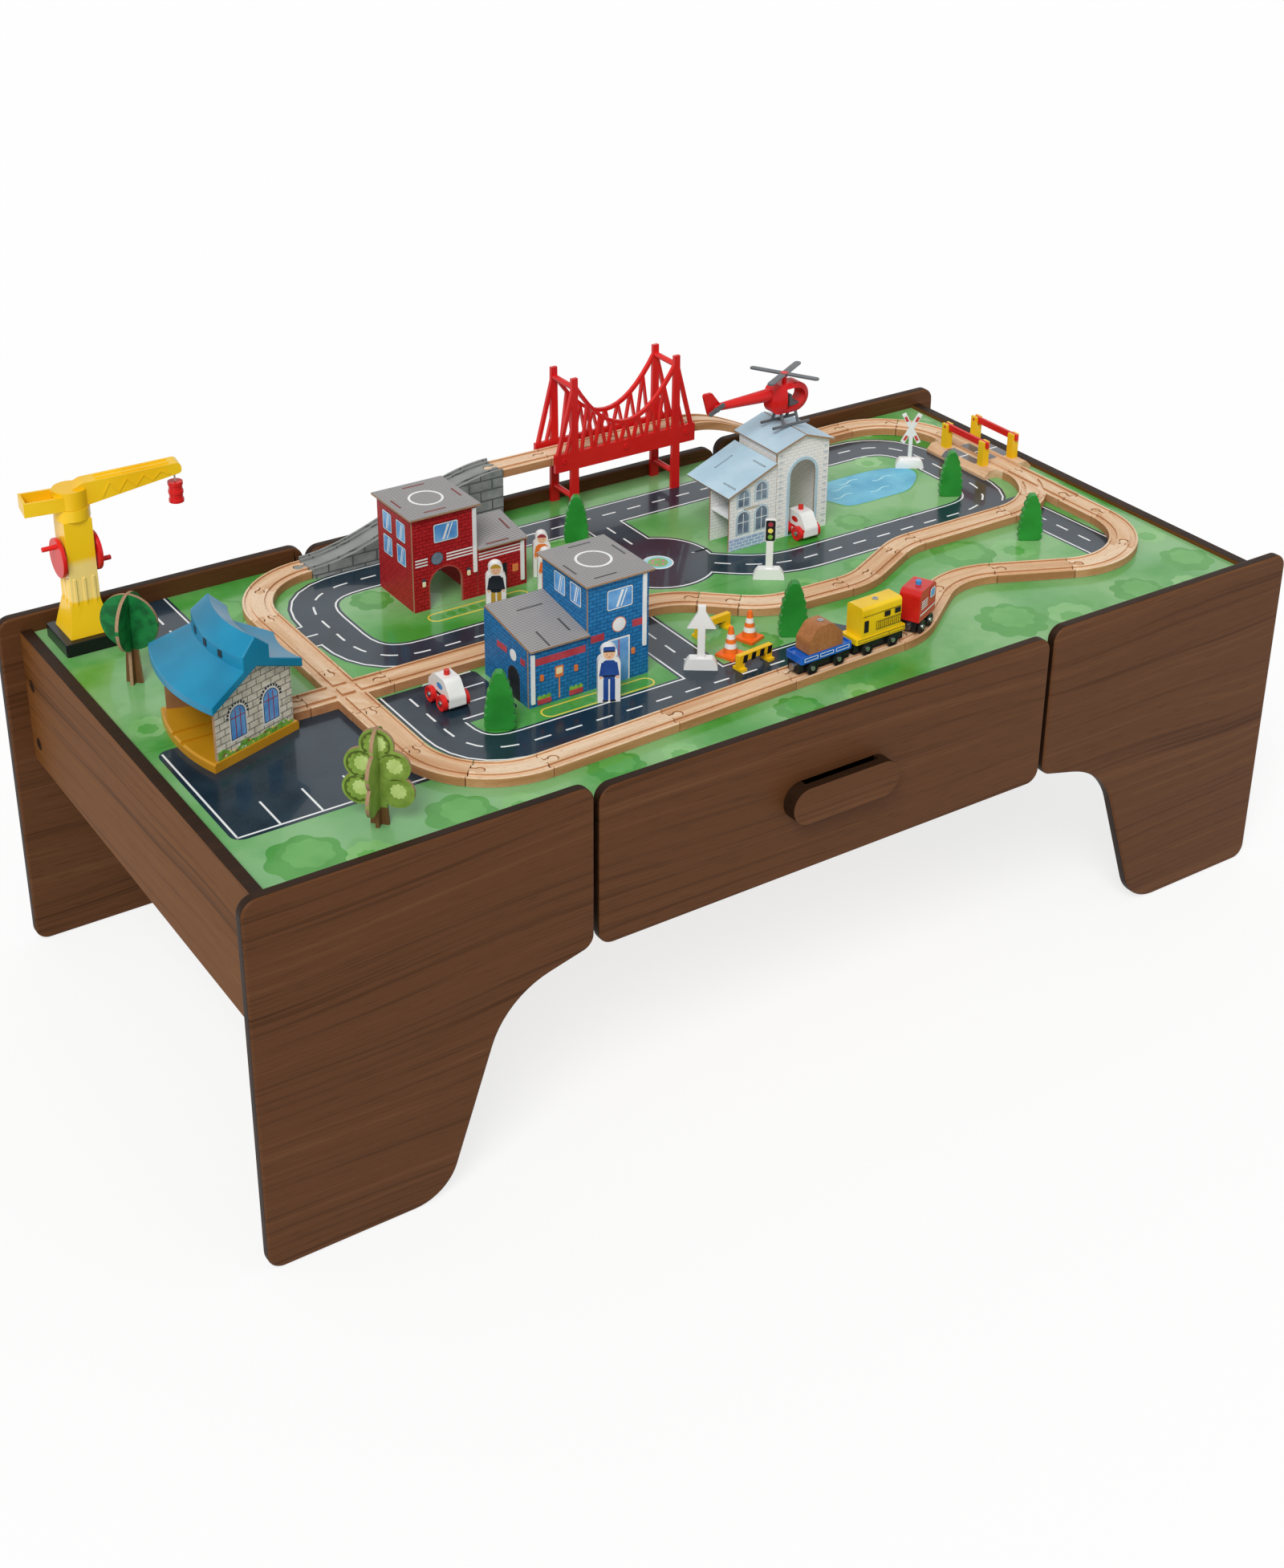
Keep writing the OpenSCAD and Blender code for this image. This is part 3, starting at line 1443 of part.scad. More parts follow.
module flat_wagon() {
  lip = 2;
  rock_h = 34;
  rock_share = 0.66;
  rock_w = wagon_w - 2 * lip - 2 * seat_gap;
  deck_z = floor_z + deck_t;
  color([0.05, 0.25, 0.65]) placed()
    at_flat() {
      chassis(wagon_l, axle_x);
      difference() {
        body_block(wagon_l, wagon_w, floor_z + seat_gap, deck_z + lip, lip);
        body_block(wagon_l - 2 * lip, wagon_w - 2 * lip, deck_z, deck_z + lip + over, lip);
      }
      translate([-wagon_l * rock_share / 2, -rock_w / 2, deck_z + seat_gap]) upright(rock_w)
          polygon(rounded(
            [[0, 0], [wagon_l * rock_share, 0], [wagon_l * rock_share, rock_h / 2],
              [wagon_l * rock_share * 2 / 3, rock_h], [wagon_l * rock_share / 4, rock_h], [0, rock_h / 2]],
            [lip, lip, rock_h / 4, rock_h / 3, rock_h / 3, rock_h / 4]
          ));
    }
}

module diesel_engine() {
  board_h = floor_z + deck_t;
  cab_share = 0.8;
  roof_cut = 4;
  color(toy_yellow) placed()
    at_engine() {
      chassis(wagon_l, axle_x);
      body_block(wagon_l, wagon_w, floor_z + seat_gap, board_h, roof_cut / 2);
      translate([-wagon_l * cab_share / 2, 0, board_h]) along(wagon_l * cab_share, 0)
          polygon(rounded(
            [[-wagon_w / 2 + over, 0], [wagon_w / 2 - over, 0], [wagon_w / 2 - over, engine_h - board_h],
              [-wagon_w / 2 + over, engine_h - board_h]],
            [0, 0, roof_cut, roof_cut]
          ));
    }
}

module fire_wagon() {
  lamp_h = 5;
  lamp_d = 7;
  round_r = 8;
  color(toy_red) placed()
    at_fire_wagon() {
      chassis(fire_wagon_l, fire_axle_x);
      translate([-fire_wagon_l / 2, -wagon_w / 2 + over, floor_z + seat_gap])
        upright(wagon_w - 2 * over)
          polygon(rounded(box_corners(fire_wagon_l, fire_wagon_h - floor_z), [0, round_r / 2, round_r, round_r]));
      translate([0, 0, fire_wagon_h - over]) cylinder(d = lamp_d, h = lamp_h + over);
    }
}

module rail_wheels(spread) {
  translate([spread, 0, axle_z]) wheelset(wheel_d, wheel_w, gauge, axle_pin_d);
}

module flat_front_wheels() color(dark_plastic) placed() at_flat() rail_wheels(axle_x);

module flat_rear_wheels() color(dark_plastic) placed() at_flat() rail_wheels(-axle_x);

module diesel_front_wheels() color(dark_plastic) placed() at_engine() rail_wheels(axle_x);

module diesel_rear_wheels() color(dark_plastic) placed() at_engine() rail_wheels(-axle_x);

module fire_front_wheels() color(dark_plastic) placed() at_fire_wagon() rail_wheels(fire_axle_x);

module fire_rear_wheels() color(dark_plastic) placed() at_fire_wagon() rail_wheels(-fire_axle_x);

// Cars: a rounded block on four wheels, nose to the drawer

police_car_share = [-0.240, -0.112];
ambulance_side = 4;
ambulance_fore = 4.2;
car_w = 21;
car_wheel_w = 6;
car_axle_x = 13;
car_clear = 5;
car_axle_z = car_wheel_d / 2 + run_gap;
car_lamp_d = 7;
car_lamp_h = 6;
car_round = 9;

module at_police_car() at_point(spot(police_car_share), -90) children();

module at_ambulance()
  at_point([heli_x - ambulance_side, spot(hospital_share).y - ambulance_fore], -90) children();

module car_body() {
  difference() {
    union() {
      translate([-car_l / 2, -car_w / 2, 0]) upright(car_w)
          polygon(rounded(
            [[0, car_clear], [car_l, car_clear], [car_l, car_h / 2], [car_l * 3 / 4, car_h],
              [car_l / 4, car_h], [0, car_h * 2 / 3]],
            [car_round / 3, car_round / 3, car_round, car_round, car_round, car_round]
          ));
      translate([0, 0, car_h - over]) cylinder(d = car_lamp_d, h = car_lamp_h + over);
    }
    for (x = [-car_axle_x, car_axle_x])
      translate([x, car_w, car_axle_z]) rotate([90, 0, 0])
          cylinder(d = axle_pin_d + 2 * run_gap, h = 2 * car_w);
  }
}

module car_wheels(spread) {
  translate([spread, 0, car_axle_z])
    wheelset(car_wheel_d, car_wheel_w, car_w + car_wheel_w + 2 * wheel_side_gap, axle_pin_d);
}

module police_car() color(toy_white) placed() at_police_car() car_body();

module ambulance() color(toy_white) placed() at_ambulance() car_body();

module police_front_wheels() color(toy_red) placed() at_police_car() car_wheels(car_axle_x);

module police_rear_wheels() color(toy_red) placed() at_police_car() car_wheels(-car_axle_x);

module ambulance_front_wheels() color(toy_red) placed() at_ambulance() car_wheels(car_axle_x);

module ambulance_rear_wheels() color(toy_red) placed() at_ambulance() car_wheels(-car_axle_x);

// Trees: firs are flat wood with a stepped edge; card trees are two crossed cards

fir_shares = [
  [-0.226, -0.228, 1], [0.056, -0.224, 1], [0.003, 0.293, 0.9], [0.357, 0.082, 0.9], [0.353, -0.152, 0.9]
];
fir_steps = 6;
fir_w_share = 0.44;
fir_step_share = 0.28;
dark_tree_share = [-0.432, 0.221];
light_tree_share = [-0.365, -0.372];
crown_share = 0.62;
trunk_w = 20;
tree_card_t = 4;

function fir_side(side, h) = [
  for (k = [0:fir_steps - 1])
    each
    let (
      wide = side * h * fir_w_share / 2 * (1 - k / (fir_steps + 1)),
      low = h * k / fir_steps,
      high = h * (k + 1) / fir_steps
    )
    [[wide, low], [wide * (1 - fir_step_share), high]]
];

module fir(h) {
  right = fir_side(1, h);
  left = fir_side(-1, h);
  n = len(left);
  translate([0, -flat_wood_t / 2, 0]) upright(flat_wood_t)
      polygon([each right, each [for (i = [n - 1:-1:0]) left[i]]]);
}

module crossed_cards() {
  for (k = [0, 1])
    rotate([0, 0, 45 + 90 * k])
      difference() {
        translate([0, -tree_card_t / 2, 0]) upright(tree_card_t) children();
        translate([-tree_card_t / 2 - seat_gap, -tree_card_t, k * card_tree_h / 2 - over])
          cube([tree_card_t + 2 * seat_gap, 2 * tree_card_t, card_tree_h / 2 + over + (1 - k) * seat_gap]);
      }
}

module tree_trunk(h) {
  polygon([[-trunk_w / 2, 0], [trunk_w / 2, 0], [trunk_w / 4, h], [-trunk_w / 4, h]]);
}

module round_tree_shape() {
  crown_d = card_tree_h * crown_share;
  tree_trunk(card_tree_h - crown_d / 2);
  translate([0, card_tree_h - crown_d / 2]) circle(d = crown_d);
}

leaf_d_share = 0.33;
leaf_place_shares = [[-0.18, 0.36], [0.18, 0.36], [-0.15, 0.62], [0.15, 0.62], [0, 0.83]];

module leafy_tree_shape() {
  tree_trunk(card_tree_h * 3 / 4);
  for (share = leaf_place_shares)
    translate(share * card_tree_h) circle(d = card_tree_h * leaf_d_share);
}

module trees() {
  color(leaf_green) placed() {
    for (share = fir_shares)
      at_point(spot(share), -30) fir(fir_h * share[2]);
    at_point(spot(dark_tree_share), 0) crossed_cards() round_tree_shape();
    at_point(spot(light_tree_share), 0) crossed_cards() leafy_tree_shape();
  }
}

// Road furniture: signs on half-round feet, cones and striped road barriers

light_share = [0.104, -0.024];
warning_share = [-0.041, -0.236];
crossing_sign_share = [0.368, 0.232];
cone_shares = [[0.022, -0.195], [-0.008, -0.226]];
road_barrier_shares = [[0.003, -0.142], [-0.001, -0.272]];
foot_sign_d = 40;
foot_sign_t = 12;
sign_t = 5;
stem_w = 9;
lamp_box_w = 13;
lamp_box_share = 0.36;
warn_w = 34;
cross_l = 40;
cross_w = 8;
cone_h = 38;
cone_d = 18;
cone_top_d = 5;
cone_base = 26;
cone_base_h = 4;
barrier_l = 52;
barrier_h = 20;
barrier_t = 7;
barrier_leg_w = 9;
barrier_foot = 16;

module sign_foot() {
  rotate([90, 0, 0]) translate([0, 0, -foot_sign_t / 2]) linear_extrude(foot_sign_t)
        intersection() {
          circle(d = foot_sign_d);
          translate([-foot_sign_d / 2, 0]) square([foot_sign_d, foot_sign_d * 3 / 8]);
        }
}

module sign(turn) {
  rotate([0, 0, turn]) {
    sign_foot();
    translate([0, -sign_t / 2, 0])
      upright(sign_t) {
        translate([-stem_w / 2, foot_sign_t / 2]) square([stem_w, sign_h - foot_sign_t / 2]);
        children();
      }
  }
}

module cone() {
  translate([-cone_base / 2, -cone_base / 2, 0]) cube([cone_base, cone_base, cone_base_h]);
  translate([0, 0, cone_base_h]) cylinder(d1 = cone_d, d2 = cone_top_d, h = cone_h - cone_base_h);
}

module road_barrier() {
  translate([-barrier_l / 2, -barrier_t / 2, barrier_h - barrier_leg_w])
    cube([barrier_l, barrier_t, barrier_leg_w]);
  for (side = [-1, 1])
    translate([side * (barrier_l - barrier_leg_w) / 2 - barrier_leg_w / 2, -barrier_foot / 2, 0]) {
      translate([0, (barrier_foot - barrier_t) / 2, 0])
        cube([barrier_leg_w, barrier_t, barrier_h - barrier_leg_w / 2]);
      cube([barrier_leg_w, barrier_foot, cone_base_h]);
    }
}

module road_furniture() {
  color(toy_white) placed() {
    at_point(spot(light_share), 0) sign(-35)
        translate([-lamp_box_w / 2, sign_h * (1 - lamp_box_share)])
          square([lamp_box_w, sign_h * lamp_box_share]);
    at_point(spot(warning_share), 0) sign(-35)
        polygon([[-warn_w / 2, sign_h - warn_w * sqrt(3) / 2], [warn_w / 2, sign_h - warn_w * sqrt(3) / 2],
          [0, sign_h]]);
    at_point(spot(crossing_sign_share), 0) sign(-35) translate([0, sign_h - cross_l / 2])
          for (turn = [60, 120])
            rotate(turn) square([cross_l, cross_w], center = true);
    for (share = cone_shares)
      at_point(spot(share), 20) cone();
    for (share = road_barrier_shares)
      at_point(spot(share), 6) road_barrier();
  }
}

// Figures: flat wooden silhouettes with a broad foot

figure_places = [
  [police_share, 86.4, -30.3, 1], [fire_share, 86.4, -47.9, 0.95], [fire_share, 168.5, -29.6, 0.8],
  [fire_share, 185.8, 9.2, 0.85]
];
figure_w_share = 0.36;
head_share = 0.26;

module figure(h) {
  head = h * head_share;
  w = h * figure_w_share;
  translate([0, -flat_wood_t / 2, 0])
    upright(flat_wood_t) {
      translate([-w / 2, 0])
        polygon(rounded(box_corners(w, h - head * 3 / 4), [0, 0, w / 3, w / 3]));
      translate([0, h - head / 2]) circle(d = head);
    }
}

module figures() {
  color(toy_white) placed()
    for (f = figure_places)
      at_point(spot(f[0]) + [f[1], f[2]], -25) figure(figure_h * f[3]);
}

front_left_leg_panel();
front_right_leg_panel();
rear_left_leg_panel();
rear_right_leg_panel();
rear_centre_panel();
left_end_panel();
right_end_panel();
dividers();
front_board();
rear_board();
board_rails();
drawer_front();
drawer_box();
drawer_bottom();
drawer_handle();
drawer_runners();
panel_fittings();
straight_tracks();
curved_tracks();
junction_tracks();
level_crossing_base();
stone_ramp();
wooden_ramp();
bridge_frame();
barrier_posts();
near_barrier_arm();
far_barrier_arm();
crane_base();
crane_tower();
crane_boom();
crane_crank();
crane_cord();
crane_load();
shed_base();
shed_walls();
shed_roof();
fire_station();
police_station();
hospital();
helicopter_body();
helicopter_rotor();
helicopter_tail_rotor();
police_car();
ambulance();
flat_wagon();
diesel_engine();
fire_wagon();
police_front_wheels();
police_rear_wheels();
ambulance_front_wheels();
ambulance_rear_wheels();
flat_front_wheels();
flat_rear_wheels();
diesel_front_wheels();
diesel_rear_wheels();
fire_front_wheels();
fire_rear_wheels();
trees();
road_furniture();
figures();
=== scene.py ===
# %% [markdown]
# # Dressing a train table
# The part is a low walnut-look play table with a wooden railway, card houses and small toys on it. The CAD
# model gives every solid its true place, and this lesson gives the solids the looks of the real thing. The CAD
# nodes are a fixed frame: a finer skin is laid over a node, or a new detail is put on it, and both ride on the
# node's body so that drawers, arms and wheels still move.

# %% Load the fixed frame
import json
import math
import random

import bpy
import numpy as np
from mathutils import Matrix, Vector

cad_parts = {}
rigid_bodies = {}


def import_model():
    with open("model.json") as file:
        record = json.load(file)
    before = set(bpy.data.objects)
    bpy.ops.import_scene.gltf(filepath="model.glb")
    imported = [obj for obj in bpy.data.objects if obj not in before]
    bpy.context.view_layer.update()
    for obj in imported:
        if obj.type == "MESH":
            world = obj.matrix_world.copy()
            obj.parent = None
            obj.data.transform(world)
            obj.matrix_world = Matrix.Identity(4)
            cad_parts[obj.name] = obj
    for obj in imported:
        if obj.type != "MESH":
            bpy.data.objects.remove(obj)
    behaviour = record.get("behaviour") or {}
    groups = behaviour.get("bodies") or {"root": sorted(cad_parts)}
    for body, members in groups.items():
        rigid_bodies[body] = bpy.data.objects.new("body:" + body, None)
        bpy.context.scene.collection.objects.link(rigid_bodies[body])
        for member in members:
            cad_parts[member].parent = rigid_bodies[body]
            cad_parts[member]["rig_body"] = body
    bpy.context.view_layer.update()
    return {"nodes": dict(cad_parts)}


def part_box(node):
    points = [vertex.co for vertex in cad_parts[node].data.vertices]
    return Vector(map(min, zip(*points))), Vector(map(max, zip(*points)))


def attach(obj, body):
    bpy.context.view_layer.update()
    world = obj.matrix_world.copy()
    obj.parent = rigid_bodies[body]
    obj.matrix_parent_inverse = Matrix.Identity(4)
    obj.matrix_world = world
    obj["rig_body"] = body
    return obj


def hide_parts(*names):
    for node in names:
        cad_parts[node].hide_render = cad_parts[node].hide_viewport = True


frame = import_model()
MM = 0.001

# %% [markdown]
# ## Camera
# The camera stands at the photograph's viewpoint. A product photograph is often straightened so that uprights
# stay upright, and a small lens shift does the same here. The place, the angles and the focal length come
# from matching the table's corners in the picture.

# %% Camera at the photograph's viewpoint
FOCUS_PX, SHIFT, LONG_SIDE_PX = 2740.5, -0.15, 1954


def turned_camera(azimuth, elevation, roll):
    a, e = math.radians(azimuth), math.radians(elevation)
    back = Vector((math.sin(a) * math.cos(e), -math.cos(a) * math.cos(e), math.sin(e)))
    right = Vector((math.cos(a), math.sin(a), 0))
    axes = Matrix((right, back.cross(right), back)).transposed()
    return axes @ Matrix.Rotation(math.radians(roll), 3, "Z")


lens = bpy.data.cameras.new("photo_lens")
lens.sensor_width = 36
lens.lens = 36 * FOCUS_PX / LONG_SIDE_PX
lens.shift_y = SHIFT
camera = bpy.data.objects.new("photo_camera", lens)
camera.matrix_world = Matrix.LocRotScale(
    Vector((-1.3704, -1.9884, 1.6465)), turned_camera(-33.825, 25.284, 0.579), None)
bpy.context.scene.collection.objects.link(camera)
bpy.context.scene.camera = camera
print("camera lens", round(lens.lens, 1), "mm")

# %% [markdown]
# ## Maths on sockets
# A finish is a small network of shader nodes. Wiring each node by hand takes many lines, so one class wraps a
# socket: sums and products of wrapped sockets add Math nodes by themselves, and one method makes any other
# node from its type, its settings and its sockets.

# %% A socket that can be added and multiplied
class Wire:
    def __init__(self, tree, socket):
        self.tree, self.socket = tree, socket

    def node(self, kind, settings=None, sockets=None, out=0):
        made = self.tree.nodes.new("ShaderNode" + kind)
        for key, value in (settings or {}).items():
            if key == "stops":
                for place, colour in value[2:]:
                    made.color_ramp.elements.new(place)
                for stop, (place, colour) in zip(made.color_ramp.elements, value):
                    stop.position, stop.color = place, colour
            else:
                setattr(made, key, value)
        for key, value in (sockets or {}).items():
            if isinstance(value, Wire):
                self.tree.links.new(value.socket, made.inputs[key])
            else:
                made.inputs[key].default_value = value
        return Wire(self.tree, made.outputs[out])

    def math(self, operation, *values):
        return self.node("Math", {"operation": operation}, dict(enumerate(values)))

    def __add__(self, other):
        return self.math("ADD", self, other)

    __radd__ = __add__

    def __sub__(self, other):
        return self.math("SUBTRACT", self, other)

    def __rsub__(self, other):
        return self.math("SUBTRACT", other, self)

    def __mul__(self, other):
        return self.math("MULTIPLY", self, other)

    __rmul__ = __mul__

    def axis(self, i):
        return self.node("SeparateXYZ", None, {0: self}, i)

    def stretched(self, x, y, z):
        return self.node("VectorMath", {"operation": "MULTIPLY"}, {0: self, 1: (x, y, z)})

    def point(self, x, y, z):
        return self.node("CombineXYZ", None, {0: x, 1: y, 2: z})

    def noise(self, scale, detail=3, roughness=0.5):
        return self.node("TexNoise", None,
                         {"Vector": self, "Scale": scale, "Detail": detail, "Roughness": roughness})

    def rise(self, low, high):
        return self.node("MapRange", {"interpolation_type": "SMOOTHSTEP"},
                         {"Value": self, "From Min": low, "From Max": high})

    def ramp(self, *stops):
        return self.node("ValToRGB", {"stops": stops}, {0: self})

    def paint(self, first, second):
        return self.node("Mix", {"data_type": "RGBA"}, {0: self, 6: first, 7: second}, 2)

    def bump(self, strength, distance):
        return self.node("Bump", None, {"Height": self, "Strength": strength, "Distance": distance})


print("a wire has", sum(not name.startswith("__") for name in vars(Wire)), "methods of its own")

# %% [markdown]
# A colour is written as six digits for red, green and blue, and is turned into light values. A finish is a
# recipe: it takes the place on the object and says what goes into the shader's sockets. Every finish is kept
# under its name, and a table of names and colours makes several finishes of one kind.

# %% Colours and finishes
def ink(code):
    parts = [int(code[i:i + 2], 16) / 255 for i in (0, 2, 4)]
    return tuple(c / 12.92 if c <= 0.04045 else ((c + 0.055) / 1.055) ** 2.4 for c in parts) + (1,)


PAINT = {}


def finish(name, recipe):
    material = PAINT[name] = bpy.data.materials.new(name)
    material.use_nodes = True
    tree = material.node_tree
    shader = tree.nodes["Principled BSDF"]
    shader.inputs["Specular IOR Level"].default_value = 0.22
    place = Wire(tree, tree.nodes.new("ShaderNodeTexCoord").outputs["Object"])
    for socket, value in recipe(place).items():
        if isinstance(value, Wire):
            tree.links.new(value.socket, shader.inputs[socket])
        else:
            shader.inputs[socket].default_value = value


def stock(recipe, table):
    """Makes a finish from each line: its name, its two colours and the recipe's other values."""
    for name, code, shade, *rest in map(str.split, table.strip().splitlines()):
        finish(name, recipe(code, shade, *map(float, rest)))


print("a colour:", [round(c, 3) for c in ink("5b3d26")])

# %% [markdown]
# ## Studio
# The photograph has a white ground with a faint soft shadow. The floor is plain and pale. Seen by the camera,
# most of its white comes from a steady glow and the rest from the lamps, so the shadow stays but is faint. The
# light on the object itself stays at a plain level: a soft sun from the left, and an even sky.

# %% Floor, sky and sun
def shown_to_eye(tree):
    rays = tree.nodes.new("ShaderNodeLightPath")
    seen = Wire(tree, rays.outputs["Is Camera Ray"])
    for ray in ("Is Glossy Ray", "Is Transmission Ray"):
        seen = seen.math("MAXIMUM", seen, Wire(tree, rays.outputs[ray]))
    return seen


bpy.ops.object.select_all(action="DESELECT")
bpy.ops.mesh.primitive_plane_add(size=30, location=(0, 0, -0.0005))
floor = bpy.context.object
floor.name = "studio_floor"
pale = bpy.data.materials.new("studio_floor_white")
pale.use_nodes = True
tree = pale.node_tree
tree.nodes.remove(tree.nodes["Principled BSDF"])
start = Wire(tree, None)
matt = start.node("BsdfDiffuse", None, {"Color": (0.86, 0.86, 0.87, 1)})
white = start.node("BsdfDiffuse", None, {"Color": (1, 1, 1, 1)})
glow = start.node("Emission", None, {"Color": (1, 1, 1, 1), "Strength": 1.0})
veil = start.node("MixShader", None, {0: 0.76, 1: white, 2: glow})
seen = start.node("MixShader", None, {0: shown_to_eye(tree), 1: matt, 2: veil})
tree.links.new(seen.socket, tree.nodes["Material Output"].inputs["Surface"])
floor.data.materials.append(pale)

sky = bpy.data.worlds.new("studio_sky")
bpy.context.scene.world = sky
sky.use_nodes = True
tree = sky.node_tree
level = shown_to_eye(tree) * 0.5 + 0.5
tree.nodes["Background"].inputs["Color"].default_value = (1, 1, 1, 1)
tree.links.new(level.socket, tree.nodes["Background"].inputs["Strength"])

sun = bpy.data.lights.new("soft_sun", "SUN")
sun.energy, sun.angle = 2.0, math.radians(28)
lamp = bpy.data.objects.new("soft_sun", sun)
lamp.rotation_euler = Vector((0.58, 0.55, -0.85)).to_track_quat("-Z", "Y").to_euler()
bpy.context.scene.collection.objects.link(lamp)
bpy.context.scene.view_settings.view_transform = "Standard"
print("studio: sun", sun.energy, "sky 0.5")

# %% [markdown]
# ## Skins
# Real boards, beech tracks and moulded toys have rounded edges that catch the light, and the CAD solids are
# sharp. A node's mesh is loose triangles, so its copy is merged and its flat faces are joined up, then the
# Bevel modifier rounds every real edge. Weighted normals keep the large faces looking flat.

# %% A softened copy of a CAD node
def pick(piece):
    bpy.ops.object.select_all(action="DESELECT")
    piece.select_set(True)
    bpy.context.view_layer.objects.active = piece
    return piece


def new_piece(name, data):
    piece = bpy.data.objects.new(name, data)
    bpy.context.scene.collection.objects.link(piece)
    return pick(piece)


def tool(piece, kind, **settings):
    modifier = piece.modifiers.new(kind, kind)
    for key, value in settings.items():
        setattr(modifier, key, value)
    bpy.ops.object.modifier_apply(modifier=modifier.name)


def smoothed(piece, angle=40):
    bpy.ops.object.shade_smooth_by_angle(angle=math.radians(angle))
    tool(piece, "WEIGHTED_NORMAL", keep_sharp=True)
    return piece


def choose(piece, test):
    """Selects the faces that pass a test, and stays in edit mode."""
    pick(piece)
    bpy.ops.object.mode_set(mode="EDIT")
    bpy.ops.mesh.select_all(action="DESELECT")
    bpy.ops.object.mode_set(mode="OBJECT")
    for face in piece.data.polygons:
        face.select = test(face)
    bpy.ops.object.mode_set(mode="EDIT")


def merged_copy(node):
    """A clean copy of a node's mesh, all selected in edit mode."""
    piece = new_piece(node + "_skin", frame["nodes"][node].data.copy())
    piece.data.materials.clear()
    bpy.ops.mesh.customdata_custom_splitnormals_clear()
    bpy.ops.object.mode_set(mode="EDIT")
    bpy.ops.mesh.select_all(action="SELECT")
    bpy.ops.mesh.remove_doubles(threshold=1e-6)
    bpy.ops.mesh.dissolve_limited(angle_limit=math.radians(0.6))
    return piece


def softened(node, width, segments=2, corner=32, clamp=True, worn=0.0):
    piece = merged_copy(node)
    if worn:
        bpy.ops.transform.shrink_fatten(value=-worn * MM, use_even_offset=True)
    bpy.ops.object.mode_set(mode="OBJECT")
    tool(piece, "BEVEL", width=width * MM, segments=segments, limit_method="ANGLE",
         angle_limit=math.radians(corner), use_clamp_overlap=clamp)
    return smoothed(piece)


print(len(frame["nodes"]), "nodes can get a skin")

# %% [markdown]
# A node may hold several solids, such as all the trees. Faces that share corners belong to one solid, so each
# solid can be looked at alone. A rule picks the finish of every face from the way it faces and from the box of
# its solid. The finished skin rides on its node's body and stands for the node.

# %% Finishes by rule
def solids(mesh):
    """For each face, the number of the solid that it belongs to."""
    up = list(range(len(mesh.vertices)))

    def top(i):
        while up[i] != i:
            up[i] = up[up[i]]
            i = up[i]
        return i

    for edge in mesh.edges:
        a, b = top(edge.vertices[0]), top(edge.vertices[1])
        up[a] = b
    tops = [top(face.vertices[0]) for face in mesh.polygons]
    order = {t: n for n, t in enumerate(dict.fromkeys(tops))}
    return [order[t] for t in tops]


def carry(piece, node, stands_for=False):
    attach(piece, frame["nodes"][node]["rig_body"])
    if stands_for:
        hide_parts(node)
    return piece


def paint_node(node, name):
    materials = frame["nodes"][node].data.materials
    materials.clear()
    materials.append(PAINT[name])


def dress(node, width, finishes, rule=None, **soft):
    """Lays a skin over a node. rule(face, main, low, high) picks the finish of a face: main is the normal of
    its solid's largest face, and low and high are its solid's corners in mm."""
    piece = softened(node, width, **soft)
    for name in finishes:
        piece.data.materials.append(PAINT[name])
    if rule:
        faces = piece.data.polygons
        numbers = solids(piece.data)
        for n in range(max(numbers) + 1):
            own = [face for face, k in zip(faces, numbers) if k == n]
            main = max(own, key=lambda face: face.area).normal.copy()
            spots = np.array([piece.data.vertices[i].co for face in own for i in face.vertices]) / MM
            low, high = spots.min(0), spots.max(0)
            for face in own:
                face.material_index = rule(face, main, low, high)
    return carry(piece, node, True)


# %% [markdown]
# ## Walnut laminate
# The panels are fibre board with a printed walnut film: long dark streaks along the board, fine pores, and
# edges that are rounded and darker. The grain runs along the table on the long panels and across it on the
# ends. It could be one Wave texture, but real walnut wanders, so stretched noise is bent by slower noise.

# %% The walnut finishes
def walnut(along, dark, middle, light, shine=0.12):
    def recipe(place):
        run, side, z = place.axis(along), place.axis(1 - along), place.axis(2)
        drift = place.point(run * 1.3, side * 2, z * 3.0).noise(1, 2, 0.4)
        rings = z * 340 + side * 60 + drift * 34 + run * 3
        lines = rings.math("SINE", rings).rise(0.2, 1.0)
        bands = place.point(run * 0.8, side * 9, z * 34 + drift * 5).noise(1, 4, 0.6)
        streaks = place.point(run * 2.4, side * 120, z * 320 + drift * 28).noise(1, 3)
        pores = place.point(run * 26, side * 700, z * 900 + drift * 60).noise(1, 2).rise(0.55, 0.70)
        tone = bands * 0.52 + streaks * 0.42 - lines * 0.05 + 0.03
        colour = tone.ramp((0.34, ink(dark)), (0.46, ink(middle)), (0.53, ink(middle)), (0.66, ink(light)))
        return {"Base Color": (pores * 0.5).paint(colour, ink(dark)),
                "Roughness": 0.44 + 0.14 * streaks,
                "Normal": (pores * -0.6 + streaks * 0.25).bump(0.2, 0.0004),
                "Specular IOR Level": shine}
    return recipe


finish("walnut_long_grain", walnut(0, "43260f", "5c3920", "6b472b"))
# The end panels carry the same walnut film with its grain across, its colours painted lighter as painted light from
# the sun on the left.
finish("walnut_ends_painted_light", walnut(1, "523012", "704622", "7f562e", 0.05))
finish("walnut_dark_edge", walnut(0, "1c1007", "2a190d", "362213"))


def panel_rule(axis):
    return lambda face, main, low, high: 0 if abs(face.normal[axis]) > 0.45 else 1


for node in ("front_left_leg_panel", "front_right_leg_panel", "rear_left_leg_panel", "rear_right_leg_panel",
             "rear_centre_panel", "drawer_front"):
    dress(node, 3.6, ["walnut_long_grain", "walnut_dark_edge"], panel_rule(1), segments=4, clamp=False)
for node in ("left_end_panel", "right_end_panel"):
    dress(node, 1.2, ["walnut_ends_painted_light", "walnut_dark_edge"], panel_rule(0), clamp=False)
handle = dress("drawer_handle", 4.0, ["walnut_long_grain", "walnut_dark_edge"], panel_rule(1), segments=4)
print("panels dressed, handle has", len(handle.data.polygons), "faces")

